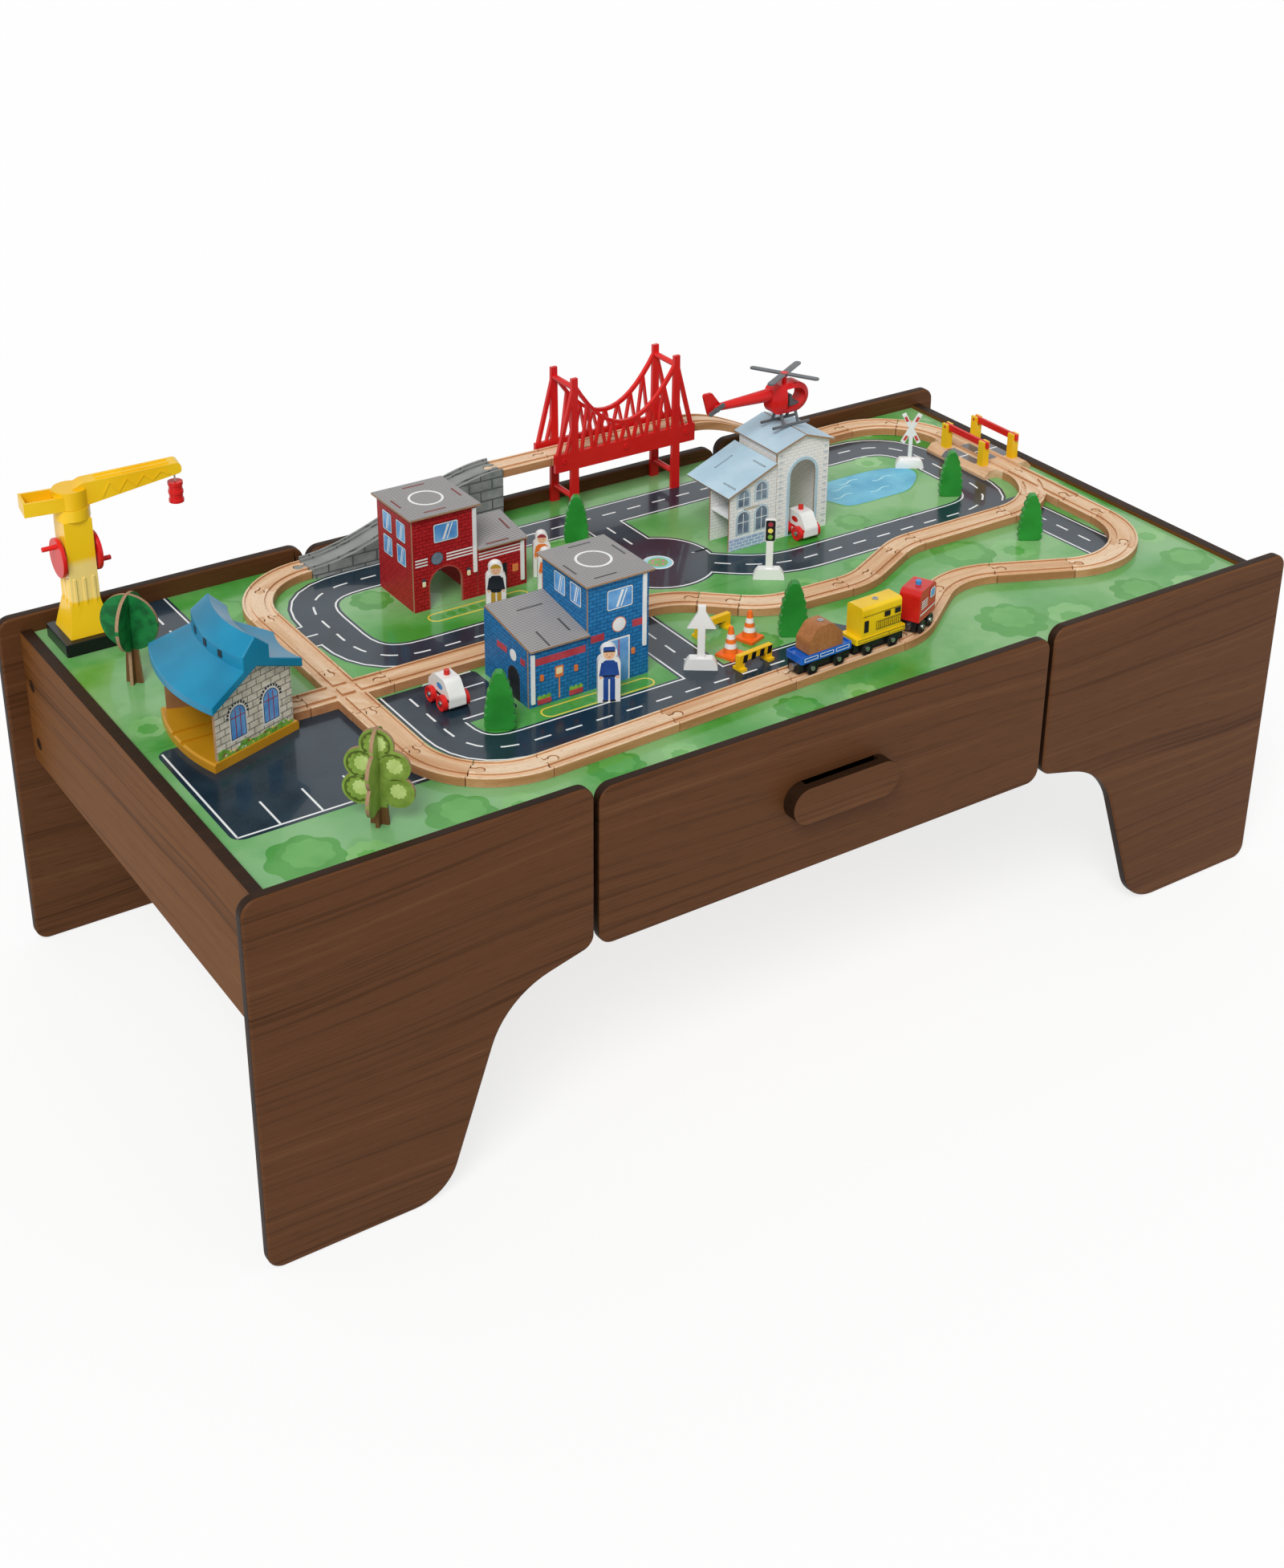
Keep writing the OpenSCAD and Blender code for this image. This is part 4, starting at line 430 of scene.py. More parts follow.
# %% [markdown]
# ## Hidden woodwork
# Dividers, rails and the drawer's box are plain pale wood that shows when the drawer is open. Their CAD shapes
# are right as they are, so they only get a wood finish, with the grain along the table's depth. The panels'
# locks are zinc with a dark cap on the outside.

# %% Plain wood and steel
def plain_wood(place):
    x, y, z = place.axis(0), place.axis(1), place.axis(2)
    rings = place.point(x * 40, y * 2.2, z * 44).noise(1, 4, 0.6)
    fibre = place.point(x * 420, y * 16, z * 420).noise(1, 2)
    colour = (rings * 0.7 + fibre * 0.3).ramp((0.32, ink("c3a27a")), (0.5, ink("d8bd97")), (0.7, ink("e6d2b1")))
    return {"Base Color": colour, "Roughness": 0.55 + 0.15 * fibre, "Normal": fibre.bump(0.12, 0.0003)}


def zinc(place):
    brushed = place.stretched(300, 900, 900).noise(1, 2)
    return {"Base Color": brushed.paint(ink("8d8f92"), ink("b9bbbd")), "Metallic": 1.0,
            "Roughness": 0.26 + 0.16 * brushed}


def capped_zinc(place):
    steel = zinc(place)
    outer = place.axis(0).math("ABSOLUTE", place.axis(0)).rise(0.6925, 0.6930)
    return {"Base Color": outer.paint(steel["Base Color"], ink("2a1b12")), "Metallic": 1 - outer,
            "Roughness": steel["Roughness"]}


finish("pale_plain_wood", plain_wood)
finish("zinc_steel", zinc)
finish("capped_lock_steel", capped_zinc)
for node in ("dividers", "board_rails", "drawer_box", "drawer_bottom", "drawer_runners"):
    paint_node(node, "pale_plain_wood")
paint_node("panel_fittings", "capped_lock_steel")
print("woodwork painted")

# %% [markdown]
# ## Flat drawings
# Many things here are thin and flat: the print on the board, card windows, painted faces of toys. Each is drawn
# as closed outlines in millimetres on a plane. A plane is given by its corner, the direction that counts as
# across and the one that counts as up.

# %% Outlines and planes
TOP = 430  # height of the board's upper face, in mm


def wall(x, y, z=TOP, across=(1, 0, 0), up=(0, 0, 1), lift=0.0):
    u, v = Vector(across).normalized(), Vector(up).normalized()
    n = u.cross(v)
    place = Matrix((u, v, n)).transposed().to_4x4()
    place.translation = (Vector((x, y, z)) + n * lift) * MM
    return place


def oblong(cx, cy, w, h, r=0.0, n=5):
    r = min(r, w / 2, h / 2)
    if r <= 0:
        return [(cx + sx * w / 2, cy + sy * h / 2) for sx, sy in ((-1, -1), (1, -1), (1, 1), (-1, 1))]
    loop = []
    for k, (sx, sy) in enumerate(((1, 1), (-1, 1), (-1, -1), (1, -1))):
        for i in range(n + 1):
            a = math.radians(90 * k + 90 * i / n)
            loop.append((cx + sx * (w / 2 - r) + r * math.cos(a), cy + sy * (h / 2 - r) + r * math.sin(a)))
    return loop


def disc(cx, cy, d, n=36):
    turns = [2 * math.pi * i / n for i in range(n)]
    return [(cx + d / 2 * math.cos(a), cy + d / 2 * math.sin(a)) for a in turns]


def arch(cx, low, w, h, n=14):
    top = low + h - w / 2
    turns = [math.pi * i / n for i in range(n + 1)]
    curve = [(cx + w / 2 * math.cos(a), top + w / 2 * math.sin(a)) for a in turns]
    return [(cx - w / 2, low), (cx + w / 2, low)] + curve


def leafy(cx, cy, r, lobes=9, turn=0.0, squash=1.0):
    loop = []
    for i in range(lobes * 6):
        a = 2 * math.pi * i / (lobes * 6)
        reach = r * (0.84 + 0.16 * abs(math.sin(lobes * a / 2 + turn)))
        loop.append((cx + reach * math.cos(a), cy + reach * squash * math.sin(a)))
    return loop


def ribbon(points, w):
    """The outline of a band of width w along a line of points."""
    p = np.array(points, float)
    d = np.gradient(p, axis=0)
    d /= np.linalg.norm(d, axis=1)[:, None]
    side = np.stack([-d[:, 1], d[:, 0]], 1) * w / 2
    return [tuple(q) for q in p + side] + [tuple(q) for q in (p - side)[::-1]]


print("a rounded oblong has", len(oblong(0, 0, 20, 10, 2)), "points")

# %% [markdown]
# A cut-out starts as a flat curve of outlines, and an outline inside another one becomes a hole. The curve is
# filled, thickened and made a mesh, then set on its plane and sunk into it by a hair, so that no gap shows. A
# list of rows makes all the flat pieces of one plane.

# %% Cutting out
SUNK = 0.1


def cut_out(name, loops, place, paint, node, thick, sunk=SUNK, soft=0.0):
    curve = bpy.data.curves.new(name, "CURVE")
    curve.dimensions, curve.fill_mode = "2D", "BOTH"
    curve.extrude = ((thick + sunk) / 2 - soft) * MM
    curve.bevel_depth, curve.bevel_resolution, curve.offset = soft * MM, 2, -soft * MM
    for loop in loops:
        spline = curve.splines.new("POLY")
        spline.points.add(len(loop) - 1)
        spline.use_cyclic_u = True
        for point, (x, y) in zip(spline.points, loop):
            point.co = (x * MM, y * MM, 0, 1)
    new_piece(name, curve)
    bpy.ops.object.convert(target="MESH")
    piece = bpy.context.object
    bpy.ops.object.mode_set(mode="EDIT")
    bpy.ops.mesh.select_all(action="SELECT")
    bpy.ops.mesh.remove_doubles(threshold=2e-7)
    bpy.ops.mesh.normals_make_consistent(inside=False)
    bpy.ops.object.mode_set(mode="OBJECT")
    piece.matrix_world = place @ Matrix.Translation((0, 0, (thick - sunk) / 2 * MM))
    bpy.ops.object.transform_apply(location=True, rotation=True, scale=True)
    piece.data.materials.clear()
    piece.data.materials.append(PAINT[paint])
    if soft:
        smoothed(piece, 50)
    return carry(piece, node)


def prints(node, place, rows):
    """Cuts out several flat pieces on one plane. A row is what cut_out takes, without the node and plane."""
    for name, loops, paint, *sizes in rows:
        cut_out(name, loops, place, paint, node, *sizes)


print("cut-outs are sunk by", SUNK, "mm")

# %% [markdown]
# ## The printed board
# The board is covered with a glossy picture of a town from above: lawns in several greens, dark roads with
# white lines, a pond, hedges. The lawn is a material, and the roads are thin printed layers: a dark band, a
# slightly narrower white one and again a dark one leave a white edge line, also where roads meet. The plan
# of the roads is made up for this table.

# %% Lawn and inks
def lawn(place):
    wide = place.noise(7.5, 1, 0.4)
    leaf = place.noise(34, 3, 0.6)
    # Pale teal patches are painted sheen of the glossy board.
    sheen_patches = place.stretched(1, 2.5, 1).noise(2.6, 2)
    tone = wide * 0.8 + leaf * 0.2
    colour = tone.ramp((0.37, ink("3d9132")), (0.43, ink("4c9c41")), (0.50, ink("62a656")), (0.60, ink("7fb472")))
    return {"Base Color": (sheen_patches.rise(0.45, 0.72) * 0.7).paint(colour, ink("86b983")),
            "Roughness": 0.2 + 0.1 * leaf, "Coat Weight": 0.3, "Coat Roughness": 0.05}


def print_ink(code, shade, scale=60):
    def recipe(place):
        tone = place.noise(scale, 3)
        return {"Base Color": tone.rise(0.3, 0.7).paint(ink(code), ink(shade)),
                "Roughness": 0.2 + 0.1 * tone, "Coat Weight": 0.3, "Coat Roughness": 0.05}
    return recipe


finish("board_lawn_print", lawn)
for node in ("front_board", "rear_board"):
    paint_node(node, "board_lawn_print")
stock(print_ink, """
    road_ink 172936 223542 25
    line_ink e9ecec f5f6f4 40
    hedge_ink 479539 55a047 24
    hedge_light_ink 79b56a 8ac07b 24
    hedge_middle_ink 59a34a 67ad58 24
    water_ink 3a9fc4 6cc3dc 18
    water_light_ink 8ad3e2 b3e4ea 30
    yellow_line_ink e3c73a f0d95a 60
    flower_ink d9568a ee8fb2 200
""")
print("board painted,", len(PAINT), "finishes so far")

# %% [markdown]
# The roads are drawn as centre lines with rounded corners, in millimetres from the table's middle. They could be
# part of the lawn's material, but bands along a line stay sharp close up, and moving a road takes only a few
# corner points. Three helpers round a line's corners, cut a line into dashes and close it to a ring.

# %% Lines along a road
MIDDLE_Y = 10  # the table's middle, in mm from the frame's
BOARD_TOP = wall(0, MIDDLE_Y, up=(0, 1, 0))


def route(points, r=60, n=8):
    p = [np.array(q, float) for q in points]
    out = [p[0]]
    for a, b, c in zip(p, p[1:], p[2:]):
        first, last = a - b, c - b
        reach = min(r, np.linalg.norm(first) * 0.49, np.linalg.norm(last) * 0.49)
        s, e = b + first / np.linalg.norm(first) * reach, b + last / np.linalg.norm(last) * reach
        out += [(1 - t) ** 2 * s + 2 * t * (1 - t) * b + t * t * e for t in np.linspace(0, 1, n)]
    out.append(p[-1])
    fine = []
    for a, b in zip(out, out[1:]):
        count = max(1, int(np.linalg.norm(b - a) / 12))
        fine += [a + (b - a) * i / count for i in range(count)]
    return fine + [out[-1]]


def dashes(line, w, length, gap):
    p = np.array(line)
    run = np.concatenate([[0], np.cumsum(np.linalg.norm(np.diff(p, axis=0), axis=1))])
    loops = []
    for s in np.arange(gap, run[-1] - length - gap / 2, length + gap):
        at = np.linspace(s, s + length, 4)
        loops.append(ribbon(np.stack([np.interp(at, run, p[:, 0]), np.interp(at, run, p[:, 1])], 1), w))
    return loops


def ring(cx, cy, r, n=48):
    turns = [2 * math.pi * i / n for i in range(n + 1)]
    return [(cx + r * math.cos(a), cy + r * math.sin(a)) for a in turns]


print("a bend has", len(route([(0, 0), (100, 0), (100, 100)])), "points")

# %% [markdown]
# Each road is printed three times: a dark border, a white edge line and the dark surface. Every road lies a hair
# higher than the last one, so that crossing roads don't flicker. White dashes run along the middle, and seven
# bars make a zebra crossing.

# %% Roads
ROAD_W, ROUND_X, ROUND_Y = 54, 58, 96
road_lines = [
    route([(28, 92), (-70, 42), (-376, 42), (-376, 256), (566, 256), (566, 6), (176, 6), (86, 84)], 80),
    route([(60, 140), (60, 256)]),
    route([(-62, 42), (-62, -203)]),
    route([(-378, -30), (-378, -204), (100, -204), (150, -170)], 70),
    route([(566, 6), (574, -196)]),
    route([(566, 132), (679, 132)]),
    route([(-376, 150), (-540, 150), (-540, 337)], 70),
    ring(ROUND_X, ROUND_Y, 46),
]
for k, line in enumerate(road_lines):
    lift = 0.004 * k
    prints("rear_board", BOARD_TOP, [
        ("road_border_%d" % k, [ribbon(line, ROAD_W + 9)], "road_ink", 0.04 + lift),
        ("road_edge_line_%d" % k, [ribbon(line, ROAD_W + 2.5)], "line_ink", 0.10 + lift),
        ("road_surface_%d" % k, [ribbon(line, ROAD_W - 2)], "road_ink", 0.16 + lift)])
marks = [loop for line in road_lines[:-1] for loop in dashes(line, 2.6, 21, 19)]
marks += [oblong(-150, 42 + 7.5 * k, 26, 4) for k in range(-3, 4)]
cut_out("road_centre_dashes", marks, BOARD_TOP, "line_ink", "rear_board", 0.24)
print(len(road_lines), "roads and", len(marks), "marks")

# %% [markdown]
# A yard for parked engines beside the shed and a lay-by for cars have white bays. The pond is an oval that two
# sine waves bend into a shore, which takes fewer numbers than an outline drawn by hand, and its bank is the same
# outline made a little larger. A flower bed lies in the middle of the roundabout.

# %% Yard, pond, roundabout
yard = [oblong(-540, -112, 252, 208, 14), oblong(-318, -80, 70, 104, 8)]
cut_out("yard_surface", yard, BOARD_TOP, "road_ink", "front_board", 0.13)
bays = [ribbon([(-660, -14), (-660, -210)], 2.4), ribbon([(-661, -210), (-420, -210)], 2.4)]
bays += [ribbon([(-612 + 48 * k, -209), (-612 + 48 * k, -158)], 2.4) for k in range(4)]
bays += [ribbon([(-350, -122 + 31 * k), (-288, -122 + 31 * k)], 2.4) for k in range(4)]
cut_out("yard_bay_lines", bays, BOARD_TOP, "line_ink", "front_board", 0.24)

POND_X, POND_Y = 432, 142
shore = [(POND_X + 84 * math.cos(a) * (1 + 0.16 * math.sin(3 * a + 0.6)),
          POND_Y + 52 * math.sin(a) * (1 + 0.2 * math.cos(2 * a)))
         for a in np.linspace(0, 2 * math.pi, 60)[:-1]]
bank = [(POND_X + (x - POND_X) * 1.045, POND_Y + (y - POND_Y) * 1.045) for x, y in shore]
ripples = [ribbon([(POND_X + dx + 17 * t, POND_Y + dy + 3 * math.sin(t * 3)) for t in np.linspace(-1, 1, 9)], 2.2)
           for dx, dy in ((-30, 14), (14, -16), (40, 12), (-8, 26), (-44, -8))]
flowers = [disc(ROUND_X + 8 * math.cos(k), ROUND_Y + 8 * math.sin(k), 4, 12) for k in range(6)]
prints("rear_board", BOARD_TOP, [
    ("pond_bank", [bank], "hedge_ink", 0.10),
    ("pond_water", [shore], "water_ink", 0.15),
    ("pond_ripples", ripples, "water_light_ink", 0.19),
    ("roundabout_bed", [disc(ROUND_X, ROUND_Y, 36)], "water_light_ink", 0.23),
    ("roundabout_green", [disc(ROUND_X, ROUND_Y, 26)], "hedge_light_ink", 0.27),
    ("roundabout_flowers", flowers, "flower_ink", 0.31)])
print(len(bays), "bay lines,", len(ripples), "ripples")

# %% [markdown]
# Bushes are lobed outlines in two greens, each with another green on top. A seeded random number turns each
# one, so that they differ and yet every run gives the same picture. Two long beds have a yellow border and a
# row of small shrubs.

# %% Bushes and hedges
rng = random.Random(4)
bushes = [
    (-618, -280, 44), (-560, -308, 26), (-448, -292, 40), (-384, -310, 24), (-262, -298, 34), (-186, -312, 22),
    (-20, -304, 30), (62, -312, 22), (330, -270, 46), (404, -298, 32), (520, -296, 38), (590, -312, 22),
    (638, -262, 36), (650, -180, 26), (640, -60, 30), (652, 20, 22), (644, 268, 28), (-648, 50, 24),
    (-470, 262, 40), (-480, 200, 22), (-300, 196, 28), (-250, 214, 18), (-30, 190, 34), (-14, 142, 20),
    (346, 60, 26), (492, 208, 20), (404, -96, 44), (472, -118, 30), (270, -52, 24), (180, -56, 18),
    (40, -152, 26), (112, -142, 18), (-80, 316, 18), (-250, 314, 20), (370, 312, 22), (560, 306, 26)]
for name, first, paint, thick, share, slip in (
        ("bushes_dark", 0, "hedge_ink", 0.050, 1.0, 0.0),
        ("bushes_light", 1, "hedge_light_ink", 0.066, 1.0, 0.0),
        ("bushes_tops", 0, "hedge_middle_ink", 0.081, 0.62, 0.14),
        ("bushes_shade", 1, "hedge_middle_ink", 0.093, 0.5, -0.15)):
    crowns = [leafy(x + r * slip, y + r * slip, r * share, 7 + r % 4, rng.random()) for x, y, r in bushes[first::2]]
    cut_out(name, crowns, BOARD_TOP, paint, "front_board", thick)
for k, (x, y, w) in enumerate(((-196, -160, 150), (-196, 112, 140))):
    row = [leafy(x - w / 2 + 16 + 15.5 * i, y, 6.6, 6) for i in range(int((w - 20) / 15.5))]
    prints("front_board", BOARD_TOP, [
        ("hedge_border_%d" % k, [oblong(x, y, w, 22, 11), oblong(x, y, w - 4, 18, 9)], "yellow_line_ink", 0.2),
        ("hedge_row_%d" % k, row, "hedge_ink", 0.2)])
print(len(bushes), "bushes")

# %% [markdown]
# ## Beech railway
# Tracks are pale steamed beech with short dark flecks along the grain. Every track was cut from its own strip,
# so its grain follows its own length and its tone differs from the next one's. Object coordinates can't do
# that, so each solid's vertices carry two attributes: a place along its own length, and a tone. The sides get
# a darker, browner copy of the beech as painted shade.

# %% Beech finishes
def beech(dark, middle, light, fleck):
    def recipe(place):
        grain = place.node("Attribute", {"attribute_name": "grain"}, None, 1)
        tone = place.node("Attribute", {"attribute_name": "tone"}, None, 2)
        u, v, w = grain.axis(0), grain.axis(1), grain.axis(2)
        rings = place.point(u * 5, v * 90, w * 90).noise(1, 3, 0.55)
        flecks = place.point(u * 120, v * 900, w * 900).noise(1, 1).rise(0.60, 0.72)
        colour = (rings * 0.75 + tone * 0.25).ramp((0.28, ink(dark)), (0.46, ink(middle)), (0.66, ink(light)))
        return {"Base Color": (flecks * 0.45).paint(colour, ink(fleck)),
                "Roughness": 0.46 + 0.14 * rings, "Normal": (rings * 0.4 - flecks * 0.5).bump(0.15, 0.0003)}
    return recipe


finish("steamed_beech", beech("cb9c72", "deba95", "ecd2b4", "b07f55"))
# The sides get a darker, browner copy of the beech: painted shade.
finish("steamed_beech_painted_shade", beech("a8744c", "ba8459", "c9976c", "8f5f3a"))
print(len(PAINT), "finishes so far")

# %% [markdown]
# A track is longest in the direction in which its points spread most, which an eigenvector of their spread gives.
# Each solid's grain also starts somewhere else, so that no two tracks show the same wood. Played-with tracks are a
# little worn, so each skin is shrunk by a hair and the joints show as thin dark lines.

# %% Grain along each track
def give_grain(piece, seed=1):
    draw = random.Random(seed)
    mesh = piece.data
    numbers = solids(mesh)
    owner = {}
    for face, n in zip(mesh.polygons, numbers):
        for i in face.vertices:
            owner[i] = n
    spots = np.array([v.co for v in mesh.vertices])
    ids = np.array([owner.get(i, 0) for i in range(len(spots))])
    grain, tone = np.zeros((len(spots), 3)), np.zeros(len(spots))
    for n in range(max(numbers) + 1):
        own = ids == n
        flat = spots[own][:, :2] - spots[own][:, :2].mean(0)
        along = np.linalg.eigh(flat.T @ flat)[1][:, 1]
        grain[own, 0] = flat @ along + 3.1 * n
        grain[own, 1] = flat @ np.array([-along[1], along[0]]) + 0.37 * n
        grain[own, 2] = spots[own][:, 2]
        tone[own] = draw.random()
    mesh.attributes.new("grain", "FLOAT_VECTOR", "POINT").data.foreach_set("vector", grain.ravel())
    mesh.attributes.new("tone", "FLOAT", "POINT").data.foreach_set("value", tone)
    return piece


# Upright faces of a track get the darker beech as painted shade.
def shaded_side_rule(face, main, low, high):
    return 1 if abs(face.normal.z) < 0.35 else 0


for k, node in enumerate(("straight_tracks", "curved_tracks", "junction_tracks", "wooden_ramp")):
    skin = give_grain(dress(node, 0.6, ["steamed_beech", "steamed_beech_painted_shade"], shaded_side_rule, worn=0.3), 7 + k)
    print(node, len(skin.data.polygons), "faces")

# %% [markdown]
# The level crossing is beech too. The road on it is a grey print on the middle pad, the outer flats and the two
# slopes, with a white line along its middle. The slopes lean, so each one gets a plane of its own, because a
# print that is laid level would stick out of them.

# %% Level crossing
PAD_Z, CROSSING_Y, FLATS_X = 0.4426, 142.2, (658, 603.7)


def crossing_rule(face, main, low, high):
    return 1 if face.normal.z > 0.9 and face.center.z > PAD_Z else 0


finish("crossing_pad_ink", print_ink("56595f", "666970", 60))
base = "level_crossing_base"
give_grain(dress(base, 0.5, ["steamed_beech", "crossing_pad_ink"], crossing_rule), 21)
flats = wall(0, CROSSING_Y, 442, up=(0, 1, 0))
prints(base, flats, [
    ("crossing_flats", [oblong(x, 0, 14.6, 60) for x in FLATS_X], "crossing_pad_ink", 0.1),
    ("crossing_lines", [oblong(x, 0, 14.6, 2.4) for x in FLATS_X], "line_ink", 0.15)])
pad = wall(0, CROSSING_Y, 442.8, up=(0, 1, 0))
cut_out("crossing_pad_line", [oblong(631, 0, 15.6, 2.4)], pad, "line_ink", base, 0.1)
for side, x in ((1, 665.4), (-1, 596.3)):
    slope = wall(x, CROSSING_Y, 441.8, (0, -side, 0), (0.73 * side, 0, -0.68))
    prints(base, slope, [
        ("crossing_slope_%d" % side, [oblong(0, 6, 60, 11)], "crossing_pad_ink", 0.1, 0.3),
        ("crossing_slope_line_%d" % side, [oblong(0, 6, 2.4, 11)], "line_ink", 0.15, 0.3)])
print("level crossing printed")

# %% [markdown]
# ## Moulded plastic
# The bridge, the crane, the shed's roof and base, the barriers and the helicopter are injection moulded. Such
# plastic is one colour through and through, with a satin face. A single flat colour would look drawn, so slow
# noise shifts the tone, the gloss and the surface by very little. One table lists the colours.

# %% Plastic finishes
def plastic(code, shade, rough=0.3, wave=14):
    def recipe(place):
        tone = place.noise(wave, 2)
        skin = place.noise(900, 2)
        return {"Base Color": tone.rise(0.25, 0.75).paint(ink(code), ink(shade)),
                "Roughness": rough + 0.08 * tone, "Normal": (skin * 0.3 + tone * 0.7).bump(0.05, 0.0006),
                "Coat Weight": 0.12, "Coat Roughness": 0.15}
    return recipe


stock(plastic, """
    red_plastic cf1418 de2420
    yellow_plastic efb90a f6c91c
    blue_plastic 00759b 0a88ae
    mustard_plastic bd8414 cc9420
    black_plastic 121314 1d1e20 0.22
    grey_plastic 54585c 666a6d
    white_plastic e9e8e6 f3f2ef
""")
print(len(PAINT), "finishes so far")

# %% [markdown]
# The stone ramp is moulded with joints between its blocks, and a Brick texture gives both their colour and their
# depth. The bridge and the barriers are plain, so they only get rounded edges.

# %% Stone ramp, bridge and barriers
def joints(place, run, width, height, mortar, smooth):
    """1 in the joints of a brick wall and 0 on its bricks. run is the place along the wall."""
    return place.node("TexBrick", None, {
        "Vector": place.point(run, place.axis(2), 0), "Scale": 1.0, "Mortar Size": mortar, "Mortar Smooth": smooth,
        "Brick Width": width, "Row Height": height}, 1)


def stone_plastic(place):
    block = joints(place, place.axis(0) + place.axis(1), 0.034, 0.0145, 0.0011, 0.3)
    tone = place.noise(70, 3)
    colour = tone.ramp((0.3, ink("777a79")), (0.5, ink("888b89")), (0.7, ink("9a9c99")))
    return {"Base Color": block.paint(colour, ink("5b5e5e")), "Roughness": 0.42 + 0.15 * tone,
            "Normal": (1 - block + tone * 0.12).bump(0.7, 0.0012)}


finish("stone_grey_plastic", stone_plastic)
finish("ramp_top_grey", plastic("80837f", "8f928e", 0.4, 40))


def upper_side(face, main, low, high):
    return int(face.normal.z > 0.6)


dress("stone_ramp", 0.6, ["stone_grey_plastic", "ramp_top_grey"], upper_side)
for node, width, paint in (("bridge_frame", 0.8, "red_plastic"), ("barrier_posts", 0.8, "yellow_plastic"),
                           ("near_barrier_arm", 0.5, "red_plastic"), ("far_barrier_arm", 0.5, "red_plastic")):
    dress(node, width, [paint])
print("bridge, ramp and barriers dressed")

# %% [markdown]
# The bridge's sides are held by screws with a hexagon socket. One screw head is modelled from a short
# cylinder: its rim is bevelled and its face is inset and pushed in. Copies of it, each with its own mesh, go
# where they are needed.

# %% Screw heads
def screw_head(d, h):
    bpy.ops.object.select_all(action="DESELECT")
    bpy.ops.mesh.primitive_cylinder_add(vertices=24, radius=d / 2 * MM, depth=h * MM, location=(0, 0, h / 2 * MM))
    head = bpy.context.object
    bpy.ops.object.transform_apply(location=True)
    choose(head, lambda face: face.normal.z > 0.9)
    bpy.ops.mesh.bevel(offset=h * 0.3 * MM, segments=2, affect="EDGES")
    bpy.ops.object.mode_set(mode="OBJECT")
    top = max(head.data.polygons, key=lambda face: face.center.z * 1000 + face.area).index
    choose(head, lambda face: face.index == top)
    bpy.ops.mesh.inset(thickness=d * 0.22 * MM)
    bpy.ops.mesh.extrude_region_move(TRANSFORM_OT_translate={"value": (0, 0, -h * 0.6 * MM)})
    bpy.ops.object.mode_set(mode="OBJECT")
    return head


def planted(model, name, places, paint, node):
    """Copies a model to each place, joins the copies to one piece, and removes the model."""
    made = []
    for place in places:
        made.append(new_piece(name, model.data.copy()))
        made[-1].matrix_world = place
        bpy.ops.object.transform_apply(location=True, rotation=True, scale=True)
    pick(made[0])
    for copy in made[1:]:
        copy.select_set(True)
    if len(made) > 1:
        bpy.ops.object.join()
    piece = bpy.context.object
    piece.name = name
    piece.data.materials.clear()
    piece.data.materials.append(PAINT[paint])
    smoothed(piece)
    bpy.data.objects.remove(model)
    return carry(piece, node)


low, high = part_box("bridge_frame")
screws = [wall(x, y / MM, 510, (way, 0, 0)) for x in (32, 129.5, 227) for y, way in ((low.y, 1), (high.y, -1))]
planted(screw_head(8, 1.2), "bridge_screws", screws, "red_plastic", "bridge_frame")
print(len(screws), "screws on the bridge")

# %% [markdown]
# ## Crane
# The crane is yellow and glossy: the fluted lower half of its tower is paler than the rest, partly as its own
# paler tone and partly as a painted highlight on the flutes. The tone changes with the height alone, so two steps
# along z are enough. The cord is twisted twine, and a slanting sine wave gives its strands.

# %% Crane
def crane_yellow(place):
    tone = place.noise(9, 2)
    z = place.axis(2)
    # A pale band on the flutes: partly the tower's paler tone, partly a painted highlight.
    pale = z.rise(0.488, 0.492) - z.rise(0.534, 0.545)
    colour = tone.rise(0.25, 0.75).paint(ink("f3ba08"), ink("f9ca1e"))
    return {"Base Color": (pale * 0.75).paint(colour, ink("fbe297")), "Roughness": 0.22 + 0.1 * tone,
            "Coat Weight": 0.3, "Coat Roughness": 0.1, "Normal": tone.bump(0.03, 0.0006)}


finish("crane_tower_yellow", crane_yellow)
dress("crane_base", 1.2, ["black_plastic"], segments=3)
dress("crane_tower", 0.5, ["crane_tower_yellow"], corner=20)
dress("crane_boom", 0.9, ["yellow_plastic"])
dress("crane_crank", 0.9, ["red_plastic"])
dress("crane_load", 0.6, ["red_plastic"])


def twine(place):
    turn = place.axis(2) * 2600 + place.axis(0) * 1500
    lay = turn.math("SINE", turn)
    return {"Base Color": lay.rise(-1, 1).paint(ink("b9b4a8"), ink("e8e4da")), "Roughness": 0.8,
            "Normal": lay.bump(0.5, 0.0002)}


finish("crane_cord_twine", twine)
paint_node("crane_cord", "crane_cord_twine")
print(len(PAINT), "finishes so far")

# %% [markdown]
# The boom has a raised lattice on both sides and two rails on top. Each rib could be a bar of its own, but one
# zigzag band a side has no seams. It is drawn in the boom's own coordinates, which are turned like the boom.

# %% Boom lattice
boom = Matrix.Translation((-0.63216, 0.29482, 0.6053)) @ Matrix.Rotation(math.radians(-8), 4, "Z")
zigzag = []
for k in range(9):
    x = 34 + 10 * k
    # the boom tapers: the ribs end a little inside its lower and its upper edge
    low_z, high_z = (x - 13.3) / 115.2 * 22 + 3.2, 25.5 + (x - 13) / 115.5 * 6.5 - 2.2
    zigzag.append((x, high_z if k % 2 else low_z))
for tag, side, across in (("near", -11, 1), ("far", 11, -1)):
    line = [(x * across, z) for x, z in zigzag]
    cut_out("boom_lattice_" + tag, [ribbon(line, 2.0)], boom @ wall(0, side, 0, (across, 0, 0)), "yellow_plastic",
            "crane_boom", 0.8, 0.3)
TOP_SLOPE = 0.0563
boom_top = boom @ wall(0, 0, 27.0, (math.cos(TOP_SLOPE), 0, math.sin(TOP_SLOPE)), (0, 1, 0))
cut_out("boom_top_rails", [oblong(72, y, 86, 2.4, 1) for y in (5, -5)], boom_top, "yellow_plastic", "crane_boom",
        2.2, 1.5, 0.3)
print("the boom has", len(zigzag) - 1, "ribs a side")

